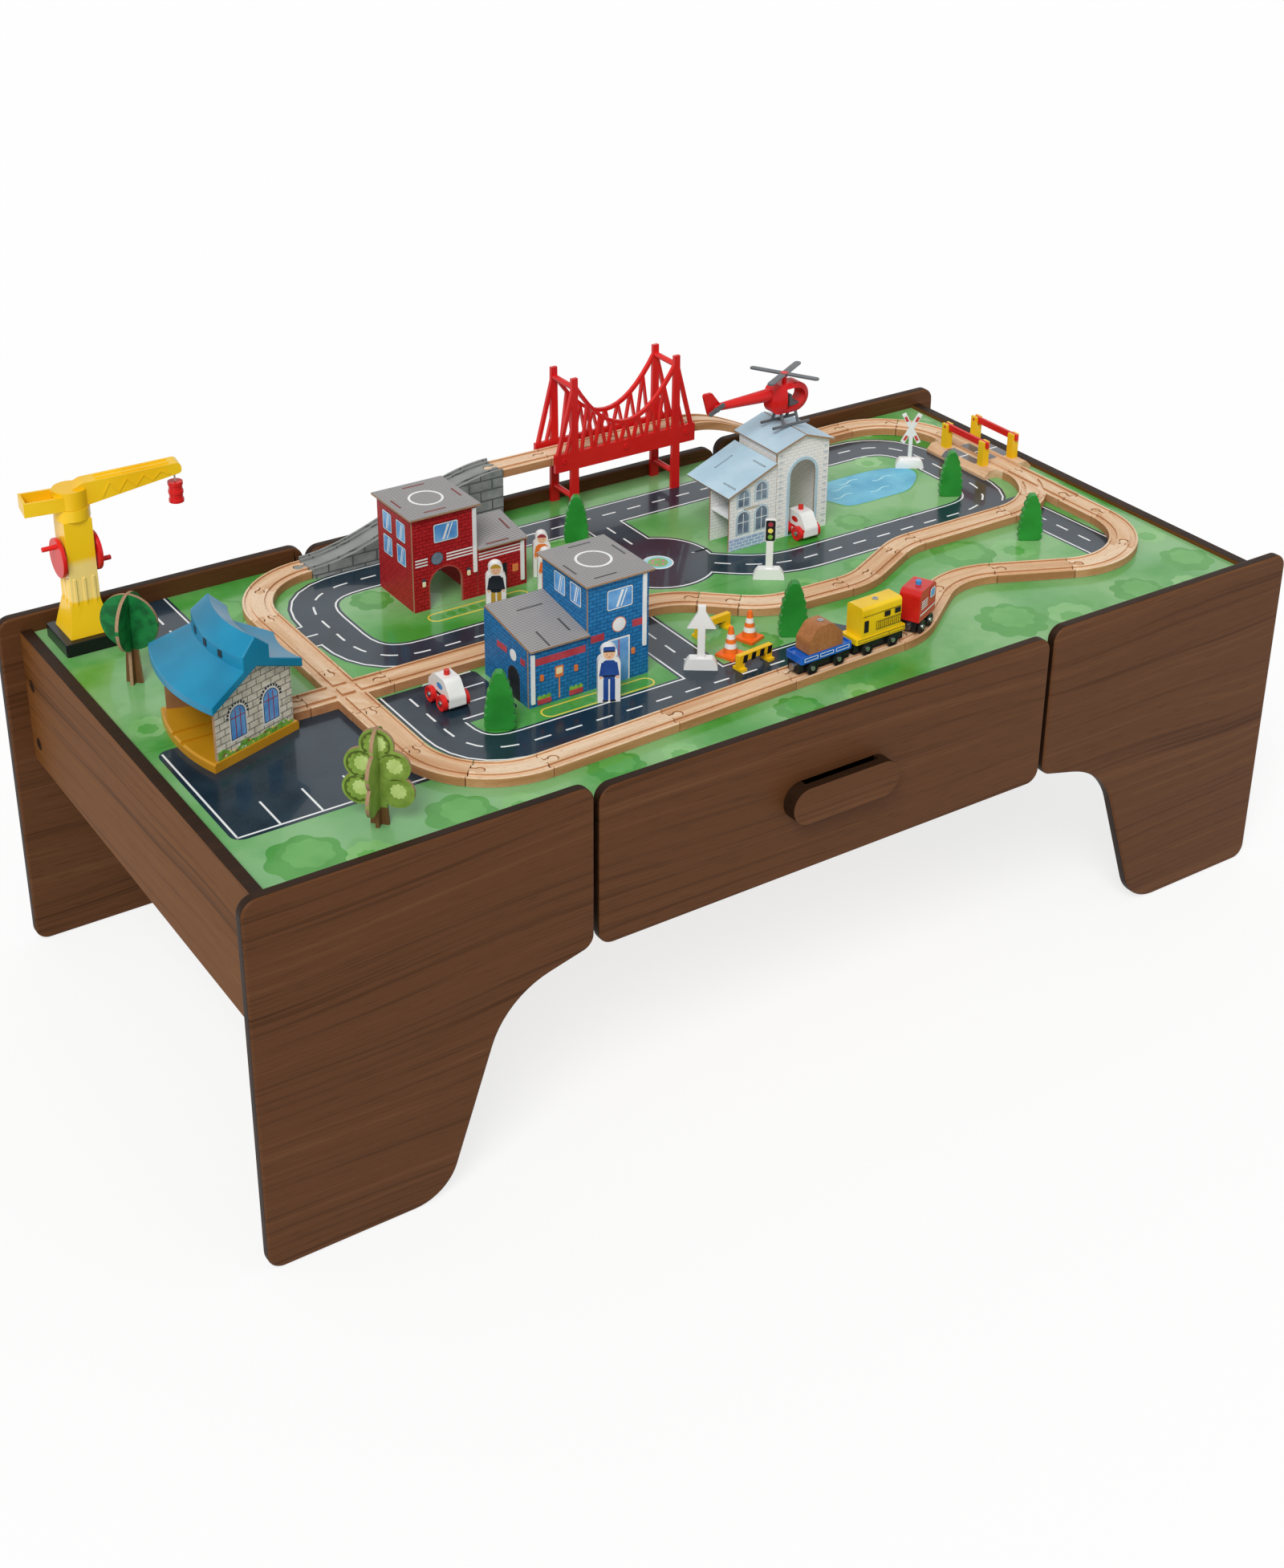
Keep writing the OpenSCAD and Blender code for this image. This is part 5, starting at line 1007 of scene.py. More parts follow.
# %% [markdown]
# ## Engine shed
# The shed is a slice of a ring: a mustard base, two card walls printed with pale stone, and a blue roof with a
# raised lantern. The finishes come first: pale stones with dark joints, the raw edge of card, and plain prints
# that later pieces share.

# %% Card finishes
def stone_print(place):
    joint = joints(place, place.axis(0) * 1.05 + place.axis(1) * 0.3, 0.0150, 0.0082, 0.0006, 0.2)
    tone = place.stretched(80, 80, 150).noise(1, 3)
    colour = tone.ramp((0.3, ink("c3bba7")), (0.5, ink("dcd5c2")), (0.7, ink("ece7d8")))
    return {"Base Color": joint.paint(colour, ink("6f6a62")), "Roughness": 0.45 + 0.1 * tone}


def card_edge(place):
    layers = place.noise(700, 2)
    return {"Base Color": layers.paint(ink("8a6a4c"), ink("b8977a")), "Roughness": 0.85,
            "Normal": layers.bump(0.2, 0.0003)}


def flat_print(code, shade, scale=35, rough=0.42):
    def recipe(place):
        tone = place.noise(scale, 3)
        return {"Base Color": tone.rise(0.3, 0.7).paint(ink(code), ink(shade)), "Roughness": rough + 0.1 * tone}
    return recipe


finish("shed_stone_print", stone_print)
finish("raw_card_edge", card_edge)
# The dark opening ink is painted shade: a dark sheet stands for each doorway and window opening.
stock(flat_print, """
    shed_inside_card 8b6443 9d7651
    window_blue_print 4f8fd0 7fb6ea 45 0.25
    window_grey_print 5f6f82 8ea0b2 45 0.25
    window_frame_dark 27303d 3a4452
    window_frame_white e4e6e6 f3f4f3
    window_bar_red 8d2a35 a33844
    leaf_print 5d9a3a 8fbf4e 160
    bloom_yellow_print eccb3c f4de6c
    dark_opening_print 14181d 22272e
""")
print(len(PAINT), "finishes so far")

# %% [markdown]
# The shed's two walls run outwards like spokes. The finish of a face follows from the way it faces: stone on the
# outside, brown card on the inside and raw card along the edges.

# %% Shed walls
dress("shed_base", 1.0, ["mustard_plastic"], segments=3)
dress("shed_roof", 1.6, ["blue_plastic"], segments=3)


def shed_facing(side):
    a = math.radians(180 + side * 18.8)
    return Vector((math.cos(a), math.sin(a), 0)), Vector((-math.sin(a), math.cos(a), 0)) * side


def shed_rule(face, main, low, high):
    side = 1 if high[1] < 10 else -1
    facing = face.normal.dot(shed_facing(side)[1])
    return 0 if facing > 0.8 else 1 if facing < -0.8 else 2


walls = dress("shed_walls", 0.3, ["shed_stone_print", "shed_inside_card", "raw_card_edge"], shed_rule)
print("shed walls have", len(walls.data.polygons), "faces")

# %% [markdown]
# The walls stand at an angle, so their plane is found from the wall itself: the furthest point in the direction
# that the wall faces. Each wall has two arched windows and a strip of flowers along its foot, whose blooms are
# strewn by the same seeded random numbers as the bushes.

# %% Shed windows and flowers
spots = np.array([v.co for v in walls.data.vertices]) / MM
for side in (1, -1):
    out, facing = shed_facing(side)
    own = spots[spots[:, 1] < 2] if side > 0 else spots[spots[:, 1] > 2]
    plane = max(own @ np.array(facing))
    across = out * -side
    start = min(own @ np.array(across))
    corner = facing * plane + across * start
    place = wall(corner.x, corner.y, 441, across)
    tag = "front" if side > 0 else "rear"
    length = max(own @ np.array(across)) - start
    middles = [length * 0.29, length * 0.72]
    stones = [ribbon([(m + r * math.cos(t), 44 + r * math.sin(t)) for r in (13.2, 16)], 2.6)
              for m in middles for t in np.linspace(0.0, math.pi, 12)]
    uprights = [oblong(m + dx, 34, 1.1, 34) for m in middles for dx in (-3.4, 3.4)]
    steps = np.linspace(0.01, 0.99, 60)
    hem = [(length * t, 4 + 5 * abs(math.sin(9 * t + side)) + 2.5 * math.sin(23 * t)) for t in steps]
    prints("shed_walls", place, [
        ("shed_window_stones_" + tag, stones, "window_frame_dark", 0.15),
        ("shed_window_frames_" + tag, [arch(m, 14, 25, 42) for m in middles], "window_frame_white", 0.2),
        ("shed_window_rims_" + tag, [arch(m, 16, 22, 39) for m in middles], "window_frame_dark", 0.25),
        ("shed_window_panes_" + tag, [arch(m, 17, 20, 37) for m in middles], "window_blue_print", 0.3),
        ("shed_window_bars_%s_0" % tag, uprights, "window_bar_red", 0.36),
        ("shed_window_bars_%s_1" % tag, [oblong(m, 42, 20, 1.1) for m in middles], "window_bar_red", 0.39),
        ("shed_flower_strip_" + tag, [[(length * 0.01, 0.2), (length * 0.99, 0.2)] + hem[::-1]], "leaf_print", 0.22)])
    blooms = [disc(length * (0.06 + 0.9 * rng.random()), 2 + 5 * rng.random(), 2.4, 10) for _ in range(22)]
    for k, paint in enumerate(("bloom_yellow_print", "window_bar_red", "window_frame_white")):
        cut_out("shed_blooms_%s_%d" % (tag, k), blooms[k::3], place, paint, "shed_walls", 0.27 + 0.02 * k)
print("shed walls are", round(length), "mm long")

# %% [markdown]
# The raised lantern of the roof has three small window openings, each a dark sheet as painted shade. They lie on
# an arc about the middle of the ring, so a radius and three angles give their places.

# %% Lantern windows
SHED, LANTERN_R, LANTERN_Z = Vector((-410.04, 1.83, TOP)), 188.5, 547
for k, a in enumerate((170, 180, 190)):
    t = math.radians(a)
    spot = SHED + Vector((math.cos(t), math.sin(t), 0)) * LANTERN_R
    pane = wall(spot.x, spot.y, LANTERN_Z, (math.sin(t), -math.cos(t), 0))
    # Each lantern window is a dark sheet: painted shade in the opening.
    cut_out("lantern_window_%d" % k, [oblong(0, 0, 7.5, 8.5, 0.8)], pane, "dark_opening_print", "shed_roof", 0.4, 0.6)
print("lantern windows lie", LANTERN_R, "mm from the ring's middle")

# %% [markdown]
# ## Card stations
# The fire station, the police station and the hospital are built from printed card that slots together. The
# printed side has bricks and the cut edge shows brown board. The largest face of each card tells which way the
# card faces, so its thin sides get the edge finish by rule.

# %% Card prints
def brick_print(code, shade, joint_code, strength=1.0):
    def recipe(place):
        joint = joints(place, place.axis(0) + place.axis(1), 0.0098, 0.0046, 0.0005, 0.3)
        tone = place.stretched(100, 100, 210).noise(1, 2)
        colour = tone.rise(0.3, 0.7).paint(ink(code), ink(shade))
        return {"Base Color": (joint * strength).paint(colour, ink(joint_code)), "Roughness": 0.4 + 0.1 * tone}
    return recipe


def striped_roof(place):
    y = place.axis(1)
    rib = (y * 2300).math("SINE", y * 2300)
    tone = place.noise(60, 2)
    colour = rib.rise(-0.3, 0.5).paint(ink("6f6d6e"), ink("b4b1b0"))
    return {"Base Color": (tone.rise(0.4, 0.8) * 0.3).paint(colour, ink("a29c98")), "Roughness": 0.5 + 0.1 * tone}


finish("fire_brick_print", brick_print("a8161d", "bb2229", "6f0e14"))
finish("police_brick_print", brick_print("1c6ca5", "2a80bd", "124a78"))
finish("hospital_brick_print", brick_print("f0efed", "f7f6f4", "c6c4c1", 0.6))
finish("hospital_roof_print", flat_print("a9c6d6", "bcd5e2", 20))
finish("station_roof_print", striped_roof)
# The dark card ink is painted shade in the slots around the tabs, and also the dark trim of the police side door.
stock(flat_print, """
    card_slot_dark 2c2624 3a3230
    card_tab_red a13a34 b8504a
    lamp_cream_print f0dca6 f7ebc8
    orange_print d9743a e68c50
    red_band_print b03844 c24c57
""")
finish("hospital_sill_print", brick_print("8fa6cf", "a9bbdb", "e8ecf2"))


def card_rule(face, main, low, high):
    if abs(face.normal.dot(main)) < 0.8:
        return 2
    return 1 if abs(main.z) > 0.6 else 0


for node, bricks, roof in (("fire_station", "fire_brick_print", "station_roof_print"),
                           ("police_station", "police_brick_print", "station_roof_print"),
                           ("hospital", "hospital_brick_print", "hospital_roof_print")):
    station = dress(node, 0.25, [bricks, roof, "raw_card_edge"], card_rule)
    print(node, len(station.data.polygons), "faces")

# %% [markdown]
# Windows on the stations are prints: a dark rim, a white frame, a blue pane and two slanting glints. One
# helper draws all the windows of a wall, each part as one piece. Another one draws the tabs of the cards, which
# stick out of slots in the roofs: each slot is a dark sheet, painted shade in the gap. The roofs of the wings lean.

# %% Windows and tabs
def windows(tag, place, node, boxes):
    rims, frames, panes, glints = [], [], [], []
    for x, z, w, h in boxes:
        rims.append(oblong(x, z, w + 2.4, h + 2.4, 3))
        frames.append(oblong(x, z, w + 1.2, h + 1.2, 2.4))
        panes.append(oblong(x, z, w - 1, h - 1, 1.8))
        low, high = z - h * 0.42, z + h * 0.42
        for dx, t in ((-0.05, 0.10), (0.14, 0.05)):
            a, b = x + w * (dx - 0.12), x + w * (dx + 0.12)
            glints.append([(a, low), (a + w * t, low), (b + w * t, high), (b, high)])
    prints(node, place, [
        (tag + "_window_rims", rims, "window_frame_dark", 0.12),
        (tag + "_window_frames", frames, "window_frame_white", 0.16),
        (tag + "_window_panes", panes, "window_blue_print", 0.2),
        (tag + "_window_glints", glints, "window_frame_white", 0.24)])


def tabs(tag, place, node, marks, paint):
    # Each slot around a tab is a dark sheet: painted shade in the gap.
    slots = [oblong(x, y, w, h, 0.8) for x, y, w, h in marks]
    ends = [oblong(x, y, max(w - 2, 0.9), max(h - 2, 0.9), 0.4) for x, y, w, h in marks]
    prints(node, place, [(tag + "_slots", slots, "card_slot_dark", 0.12), (tag + "_tabs", ends, paint, 0.3)])


LEAN, ROOF_T = math.atan(0.16), 2.9
wing_up = (0, math.cos(LEAN), math.sin(LEAN))
print("wing roofs lean by", round(math.degrees(LEAN), 1), "degrees")

# %% [markdown]
# The fire station is a tower with a low wing. Its front has white stripes, a plain disc, an arched gate and two
# lamps, and its roof has a white ring. The prints of a wall are measured from its lower left corner, as on the
# flat sheet that a card model is cut from.

# %% Fire station
FIRE_X, FIRE_Y = -272.2, 145.36
fire_front = wall(FIRE_X, FIRE_Y)
node = "fire_station"
windows("fire_front", fire_front, node, [(46, 99, 32, 23)])
windows("fire_left", wall(FIRE_X, 235.4, across=(0, -1, 0)), node,
        [(x, z, 21, 24) for z in (99, 67) for x in (26, 61)])
windows("fire_right", wall(-184.2, 148.3, across=(0, 1, 0)), node, [(x, 101, 21, 22) for x in (26, 61)])
stripes = [oblong(x, z, w, 1.8) for x, w in ((11.5, 17), (64, 36)) for z in (61, 65, 69)]
stripes += [oblong(122.5, z, 64, 1.8) for z in (49, 53, 57)]
posts = [oblong(85, 78, 5, 86, 0.6), oblong(152, 34, 5, 54, 0.6)]
prints(node, fire_front, [
    ("fire_white_stripes", stripes, "window_frame_white", 0.15),
    ("fire_disc_rim", [disc(33, 66, 17)], "window_frame_dark", 0.15),
    ("fire_disc", [disc(33, 66, 15.5)], "window_grey_print", 0.2),
    ("fire_arch_trim", [arch(44, 0.1, 48, 54.2), arch(44, 0.05, 44.2, 52.2)], "card_tab_red", 0.2),
    ("fire_corner_posts", posts, "window_frame_white", 2.2, 0.2, 0.3),
    ("fire_lamp_caps", [[(x - 3.5, 40), (x + 3.5, 40), (x, 44)] for x in (14, 76)], "window_frame_dark", 0.9),
    ("fire_lamps", [oblong(x, 36, 4.4, 7, 1.2) for x in (14, 76)], "lamp_cream_print", 1.2, 0.1, 0.3),
    # The wing door is a dark sheet: painted shade in the doorway.
    ("fire_wing_door", [oblong(118, 18, 24, 36, 1)], "dark_opening_print", 0.15),
    ("fire_wing_box", [oblong(142, 26, 8, 10, 1)], "orange_print", 0.9, 0.1, 0.2)])
roof = wall(-228.2, 190.4, 556.9, up=(0, 1, 0))
marks = [(-8, -38, 30, 2.6), (4, 39, 30, 2.6), (-40, 2, 2.6, 26), (40, -4, 2.6, 26)]
cut_out("fire_roof_ring", [disc(0, 0, 44), disc(0, 0, 38)], roof, "window_frame_white", node, 0.15)
tabs("fire_roof", roof, node, marks, "card_tab_red")
marks = [(30, 2, 32, 2.6), (58, 34, 2.6, 26), (16, 54, 22, 2.6)]
tabs("fire_wing_roof", wall(-183.9, FIRE_Y, 494, up=wing_up, lift=ROOF_T), node, marks, "card_tab_red")
print("fire station printed, with", len(stripes), "stripes")

# %% [markdown]
# The police station is drawn the same way. Its tall part stands to the right of a low wing, so the wing's side
# wall has the arched door. Lamps and flower boxes are thicker than the other prints and stand out from the wall.

# %% Police station, windows and front
POLICE_X, POLICE_Y = -276.48, -131.705
police_front, police_left = wall(POLICE_X, POLICE_Y), wall(POLICE_X, -33.4, across=(0, -1, 0))
node = "police_station"
windows("police_front", police_front, node, [(121, 107, 33, 24)])
windows("police_left", wall(-198.2, -33.7, across=(0, -1, 0)), node, [(x, 112, 22, 24) for x in (38, 72)])
windows("police_right", wall(-116.2, -128.8, across=(0, 1, 0)), node,
        [(x, z, 24, 24) for z in (107, 66) for x in (28, 66)])
leaves = [leafy(x + dx, 10, 3.2, 6) for x in (20, 62) for dx in (-6, 0, 6)]
bands = [oblong(42, 56, 66, 9), oblong(91, 64, 18, 9), oblong(148, 70, 20, 9)]
posts = [oblong(154, 84, 5, 92, 0.6), oblong(5, 36, 5, 62, 0.6)]
prints(node, police_front, [
    ("police_red_bands", bands, "red_band_print", 0.14),
    ("police_disc_rim", [disc(120, 74, 19)], "orange_print", 0.17),
    ("police_disc", [disc(120, 74, 17)], "window_frame_white", 0.22),
    ("police_door_frame", [oblong(119.5, 28.6, 30, 57, 1)], "window_frame_white", 0.35),
    ("police_door", [oblong(119.5, 27.6, 26, 55, 0.8)], "window_blue_print", 0.5),
    ("police_door_bars", [oblong(119.5, 27.6, 1.4, 55)], "red_band_print", 0.6),
    ("police_corner_posts", posts, "window_frame_white", 2.2, 0.2, 0.3),
    ("police_sign_board", [oblong(40, 37, 11, 14, 1)], "orange_print", 0.3),
    ("police_sign_sheet", [oblong(40, 38, 8, 8, 0.6)], "lamp_cream_print", 0.35),
    ("police_sign_post", [oblong(40, 17, 1.6, 28)], "orange_print", 0.25),
    ("police_lamps", [oblong(x, 35, 5, 8, 1.4) for x in (17, 62, 139)], "orange_print", 1.2, 0.1, 0.3),
    ("police_flower_boxes", [oblong(x, 5, 18, 6, 0.8) for x in (20, 62)], "red_band_print", 1.2, 0.1, 0.3),
    ("police_flower_leaves", leaves, "leaf_print", 0.4)])
print("police front printed, with", len(bands), "red bands")

# %% [markdown]
# The side wall of the wing has its own plane and prints: the door, a dark sheet as painted shade in the doorway,
# two red bands and a plain disc. The tall roof has a white ring, and grey tabs stick out of both roofs.

# %% Police station, side and roofs
prints(node, police_left, [
    # The side door is a dark sheet: painted shade in the doorway.
    ("police_side_door", [arch(66, 0.1, 22, 38)], "dark_opening_print", 0.15),
    ("police_side_trim", [arch(66, 0.1, 26, 40), arch(66, 0.05, 22.2, 38.1)], "card_slot_dark", 0.2),
    ("police_side_bands", [oblong(40, 54, 22, 8), oblong(86, 54, 10, 8)], "red_band_print", 0.14),
    ("police_side_disc", [disc(65, 54, 14)], "window_frame_white", 0.2)])
roof = wall(-157.2, -82.7, 564.9, up=(0, 1, 0))
marks = [(-12, -40, 30, 2.4), (6, 44, 30, 2.4), (-38, -6, 2.4, 28), (38, 10, 2.4, 28)]
cut_out("police_roof_ring", [disc(0, 4, 44), disc(0, 4, 38)], roof, "window_frame_white", node, 0.15)
tabs("police_roof", roof, node, marks, "grey_plastic")
marks = [(26, 12, 2.4, 30), (44, 72, 34, 2.4), (62, 26, 2.4, 26)]
tabs("police_wing_roof", wall(POLICE_X, POLICE_Y, 502, up=wing_up, lift=ROOF_T), node, marks, "grey_plastic")
print("police roofs printed, with", len(marks), "tabs on the wing")

# %% [markdown]
# The hospital has a gabled hall with a tall arch and a two-storey wing under a sloping roof. Its windows are
# arched, and the foot of the wing is printed with blue bricks. One list of windows gives their trims, rims, panes
# and bars, so that these stay together when a window is moved.

# %% Hospital
HOSPITAL_X, CLIMB = 151.2, math.atan(0.42)
hospital_front, node = wall(HOSPITAL_X, 81.91), "hospital"
arches = [(22, 60, 17, 22), (50, 64, 17, 24), (22, 22, 18, 30), (51, 22, 18, 32)]
trims = [arch(x, z - 2, w + 5, h + 4.5) for x, z, w, h in arches]
rims = [arch(x, z - 0.6, w + 1.6, h + 1.4) for x, z, w, h in arches]
uprights = [oblong(x, z + h / 2 - 1, 1.0, h - 3) for x, z, w, h in arches]
rails = [oblong(x, z + h * 0.52, w, 1.0) for x, z, w, h in arches]
quoins = [oblong(x, 8 + 9 * k, 7 if k % 2 else 5, 3.4) for x in (80.5, 153) for k in range(13)]
gate = [arch(116.3, 0.1, 50, 108), arch(116.3, 0.05, 42.2, 104.2)]
finish("hospital_quoin_print", flat_print("c6ccd2", "d4d9dd"))
prints(node, hospital_front, [
    ("hospital_window_trims", trims, "hospital_roof_print", 0.3),
    ("hospital_window_rims", rims, "window_frame_white", 0.4),
    ("hospital_window_panes", [arch(*box) for box in arches], "window_grey_print", 0.5),
    ("hospital_window_uprights", uprights, "window_frame_white", 0.56),
    ("hospital_window_rails", rails, "window_frame_white", 0.6),
    ("hospital_sill_bricks", [oblong(37, 8.6, 73, 17)], "hospital_sill_print", 0.14)])
tabs("hospital_front", hospital_front, node, [(36, 55, 26, 2.2)], "lamp_cream_print")
prints(node, hospital_front, [
    ("hospital_arch_trim", gate, "hospital_roof_print", 0.9, 0.1, 0.2),
    ("hospital_quoins", quoins, "hospital_quoin_print", 0.14)])
windows("hospital_right", wall(309.5, 84.8, across=(0, 1, 0)), node,
        [(x, z, 20, h) for z, h in ((92, 24), (46, 26)) for x in (22, 56)])
inside = wall(151.4, 84.7, 474, up=(0, 1, 0))
cut_out("hospital_inner_floor", [oblong(37, 20, 70, 38)], inside, "window_frame_white", node, 2.2, 0.2, 0.2)
wing = wall(HOSPITAL_X, 76.9, 508, (math.cos(CLIMB), 0, math.sin(CLIMB)), (0, 1, 0), ROOF_T)
marks = [(12, 20, 2.2, 26), (40, 70, 30, 2.2), (64, 22, 2.2, 26)]
tabs("hospital_wing_roof", wing, node, marks, "hospital_roof_print")
print("hospital printed, with", len(arches), "arched windows")

# %% [markdown]
# ## Train
# The train is turned wood with glossy paint on a black chassis. Brushed lacquer has very slight waves, which a
# faint bump gives, and the shader's own coat lays a clear gloss over the colour. The boulder on the flat wagon is
# brown with a mottled tone.

# %% Painted wood
def paint_coat(code, shade, rough=0.24):
    def recipe(place):
        tone = place.noise(30, 2)
        peel = place.noise(420, 2)
        return {"Base Color": tone.rise(0.3, 0.7).paint(ink(code), ink(shade)), "Roughness": rough + 0.1 * tone,
                "Normal": (tone * 0.8 + peel * 0.2).bump(0.06, 0.0008), "Coat Weight": 0.25, "Coat Roughness": 0.12}
    return recipe


def boulder(place):
    lump = place.noise(38, 4, 0.6)
    fleck = place.noise(260, 2)
    colour = (lump * 0.6 + fleck * 0.4).ramp((0.32, ink("935d34")), (0.5, ink("a56b3e")), (0.68, ink("b57a4b")))
    return {"Base Color": colour, "Roughness": 0.36 + 0.12 * fleck,
            "Normal": (lump + fleck * 0.2).bump(0.08, 0.0008)}


stock(paint_coat, """
    blue_wagon_paint 1256b4 1b66c9
    yellow_engine_paint e8bc06 f2cb18
    red_wagon_paint c41a18 d42a22
    white_toy_paint e6e6e3 f2f1ee
""")
finish("lamp_blue_plastic", plastic("1f7fc4", "3a9ad8", 0.15))
finish("boulder_brown_paint", boulder)
finish("hub_steel", zinc)
stock(flat_print, """
    black_print 131315 1e1e21
    white_print eceded f6f6f5
""")
print(len(PAINT), "finishes so far")

# %% [markdown]
# Each wagon has its own place and heading, so its details are drawn in the wagon's own coordinates. Which paint
# a face gets follows from where it lies: the chassis is below the floor, and the magnet hitches stick out beyond
# the ends.

# %% Wagons
def stand(x, y, turn):
    """The own coordinates of a toy that stands at table place x, y."""
    return Matrix.Translation((x * MM, (y + MIDDLE_Y) * MM, TOP * MM)) @ Matrix.Rotation(math.radians(turn), 4, "Z")


CHASSIS_TOP, LOAD_FOOT, LAMP_H, HALF_WAGON, HALF_FIRE = 457.5, 463, 0.0046, 38, 23
TRAIN_TURN, FIRE_TURN, CAR_TURN = 2.35, 25.546, -90
FLAT, ENGINE = stand(49.563, -247.935, TRAIN_TURN), stand(132.493, -244.532, TRAIN_TURN)
FIRE = stand(208.258, -233.09, FIRE_TURN)


def wagon_rule(place, half):
    def rule(face, main, low, high):
        if high[2] < CHASSIS_TOP:
            own = place.inverted() @ face.center / MM
            return 1 if abs(own.x) > half + 0.6 else 0
        return 3 if low[2] > LOAD_FOOT else 2
    return rule


def fire_rule(face, main, low, high):
    rest = wagon_rule(FIRE, HALF_FIRE)(face, main, low, high)
    return 3 if rest == 2 and face.center.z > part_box("fire_wagon")[1].z - LAMP_H else rest


for node, width, paints, rule in (
        ("flat_wagon", 0.7, ["blue_wagon_paint", "boulder_brown_paint"], wagon_rule(FLAT, HALF_WAGON)),
        ("diesel_engine", 0.9, ["yellow_engine_paint"], wagon_rule(ENGINE, HALF_WAGON)),
        ("fire_wagon", 0.9, ["red_wagon_paint", "lamp_blue_plastic"], fire_rule)):
    dress(node, width, ["black_plastic", "zinc_steel"] + paints, rule, segments=3)
print("three wagons dressed")

# %% [markdown]
# The wheels have bright hubs. A wheelset can stand at any angle, so the hub isn't picked by place but by its distance
# from the axle's line: what stays near the line is steel, and the rest is tyre.

# %% Wheels
def dress_wheels(node, turn, tyre, r=3.3):
    """Wheels get bright hubs: every face that stays near the axle's line is steel."""
    wheels = dress(node, 0.6, [tyre, "hub_steel"])
    side = np.array((-math.sin(math.radians(turn)), math.cos(math.radians(turn)), 0))
    spots = np.array([v.co for v in wheels.data.vertices]) / MM
    reach = spots - (spots.min(0) + spots.max(0)) / 2
    off = np.linalg.norm(reach - np.outer(reach @ side, side), axis=1)
    for face in wheels.data.polygons:
        face.material_index = int(max(off[i] for i in face.vertices) < r)


for toy, turn, tyre in (("flat", TRAIN_TURN, "black_plastic"), ("diesel", TRAIN_TURN, "black_plastic"),
                        ("fire", FIRE_TURN, "black_plastic"), ("police", CAR_TURN, "red_plastic"),
                        ("ambulance", CAR_TURN, "red_plastic")):
    for end in ("front", "rear"):
        dress_wheels("%s_%s_wheels" % (toy, end), turn, tyre)
print("wheels dressed")

# %% [markdown]
# Prints on the train: white frames along the wagon's deck, and dark windows, louvres and thin panel lines on the
# engine. Both sides get them, so one helper turns the plane round and draws the same rows twice.

# %% Prints on the wagon and the engine
def both_sides(place, half_w):
    return [place @ wall(0, -half_w, 0), place @ wall(0, half_w, 0, (-1, 0, 0))]


def side_prints(node, place, half_w, rows):
    """The same prints on both sides of a toy, numbered 0 and 1."""
    for k, side in enumerate(both_sides(place, half_w)):
        prints(node, side, [("%s_%d" % (name, k), *row) for name, *row in rows])


def outline(cx, cy, w, h, t):
    return [oblong(cx, cy, w, h), oblong(cx, cy, w - 2 * t, h - 2 * t)]


frames = [loop for x in (-23.5, 0, 23.5) for loop in outline(x, 31.6, 20, 4.6, 0.7)]
side_prints("flat_wagon", FLAT, 14.5, [("wagon_frames", frames, "white_print", 0.12)])
panes = [oblong(-24, 48, 6.5, 15, 0.4), oblong(8, 56.5, 9, 6.6, 0.4), oblong(24, 56.5, 9, 6.6, 0.4)]
louvres = [oblong(-5 + 3.1 * i, 45, 0.6, 9) for i in range(11)]
side_prints("diesel_engine", ENGINE, 14.35, [
    ("engine_windows", panes, "black_print", 0.15),
    ("engine_louvres", louvres, "black_print", 0.12),
    ("engine_louvre_rim", outline(10.5, 45, 38, 10.6, 0.5), "black_print", 0.14),
    ("engine_roof_line", [oblong(0, 61.2, 59, 0.5)], "black_print", 0.12)])
sill = outline(0, 30.4, 70, 4.4, 0.5) + [oblong(12, 30.4, 0.6, 2.8)]
side_prints("diesel_engine", ENGINE, 14.5, [("engine_sill_lines", sill, "black_print", 0.12)])
print("engine printed, with", len(louvres), "louvres a side")

# %% [markdown]
# The fire wagon has a windscreen, framed side windows and shutters of four slats. The last details of the train are
# two steel screws, one on the boulder and one on the engine's roof, made like those of the bridge.

# %% Fire wagon and screws
side_prints("fire_wagon", FIRE, 14.4, [
    ("fire_wagon_window", [oblong(11, 55, 11, 10, 2)], "window_blue_print", 0.15),
    ("fire_wagon_frame", [oblong(11, 55, 13, 12, 2.6), oblong(11, 55, 11.2, 10.2, 2)], "white_print", 0.2),
    ("fire_wagon_stripe", [oblong(0, 37, 44, 1.6)], "white_print", 0.15),
    ("fire_wagon_shutter", [oblong(-11, 53 - 3 * i, 17, 1.2) for i in range(4)], "white_print", 0.15)])
nose = FIRE @ wall(22.95, 0, 0, (0, 1, 0))
cut_out("fire_wagon_windscreen", [oblong(0, 55, 20, 11, 2)], nose, "window_blue_print", "fire_wagon", 0.3, 0.6)
for name, place, z, node in (("boulder_screw", FLAT, 0.0678, "flat_wagon"),
                             ("engine_roof_screw", ENGINE, 0.0718, "diesel_engine")):
    planted(screw_head(7.5, 1.4), name, [place @ Matrix.Translation((0, 0, z))], "hub_steel", node)
print("fire wagon printed, two screws set")

# %% [markdown]
# ## Cars
# The police car and the ambulance are the same rounded white block with a red lamp, so one loop dresses both.
# The side windows are drops of colour, each an ellipse that a formula draws in at one end, and a band runs along
# the sill.

# %% Cars
def drop(cx, cy, w, h, n=26):
    return [(cx + w / 2 * math.cos(a) * (1 - 0.35 * math.cos(a)),
             cy + h / 2 * math.sin(a) * (0.72 - 0.28 * math.cos(a))) for a in np.linspace(0, 2 * math.pi, n)[:-1]]


CAR_LAMP_Z, HALF_CAR = 0.4664, 10.5


def car_rule(face, main, low, high):
    return int(face.center.z > CAR_LAMP_Z)


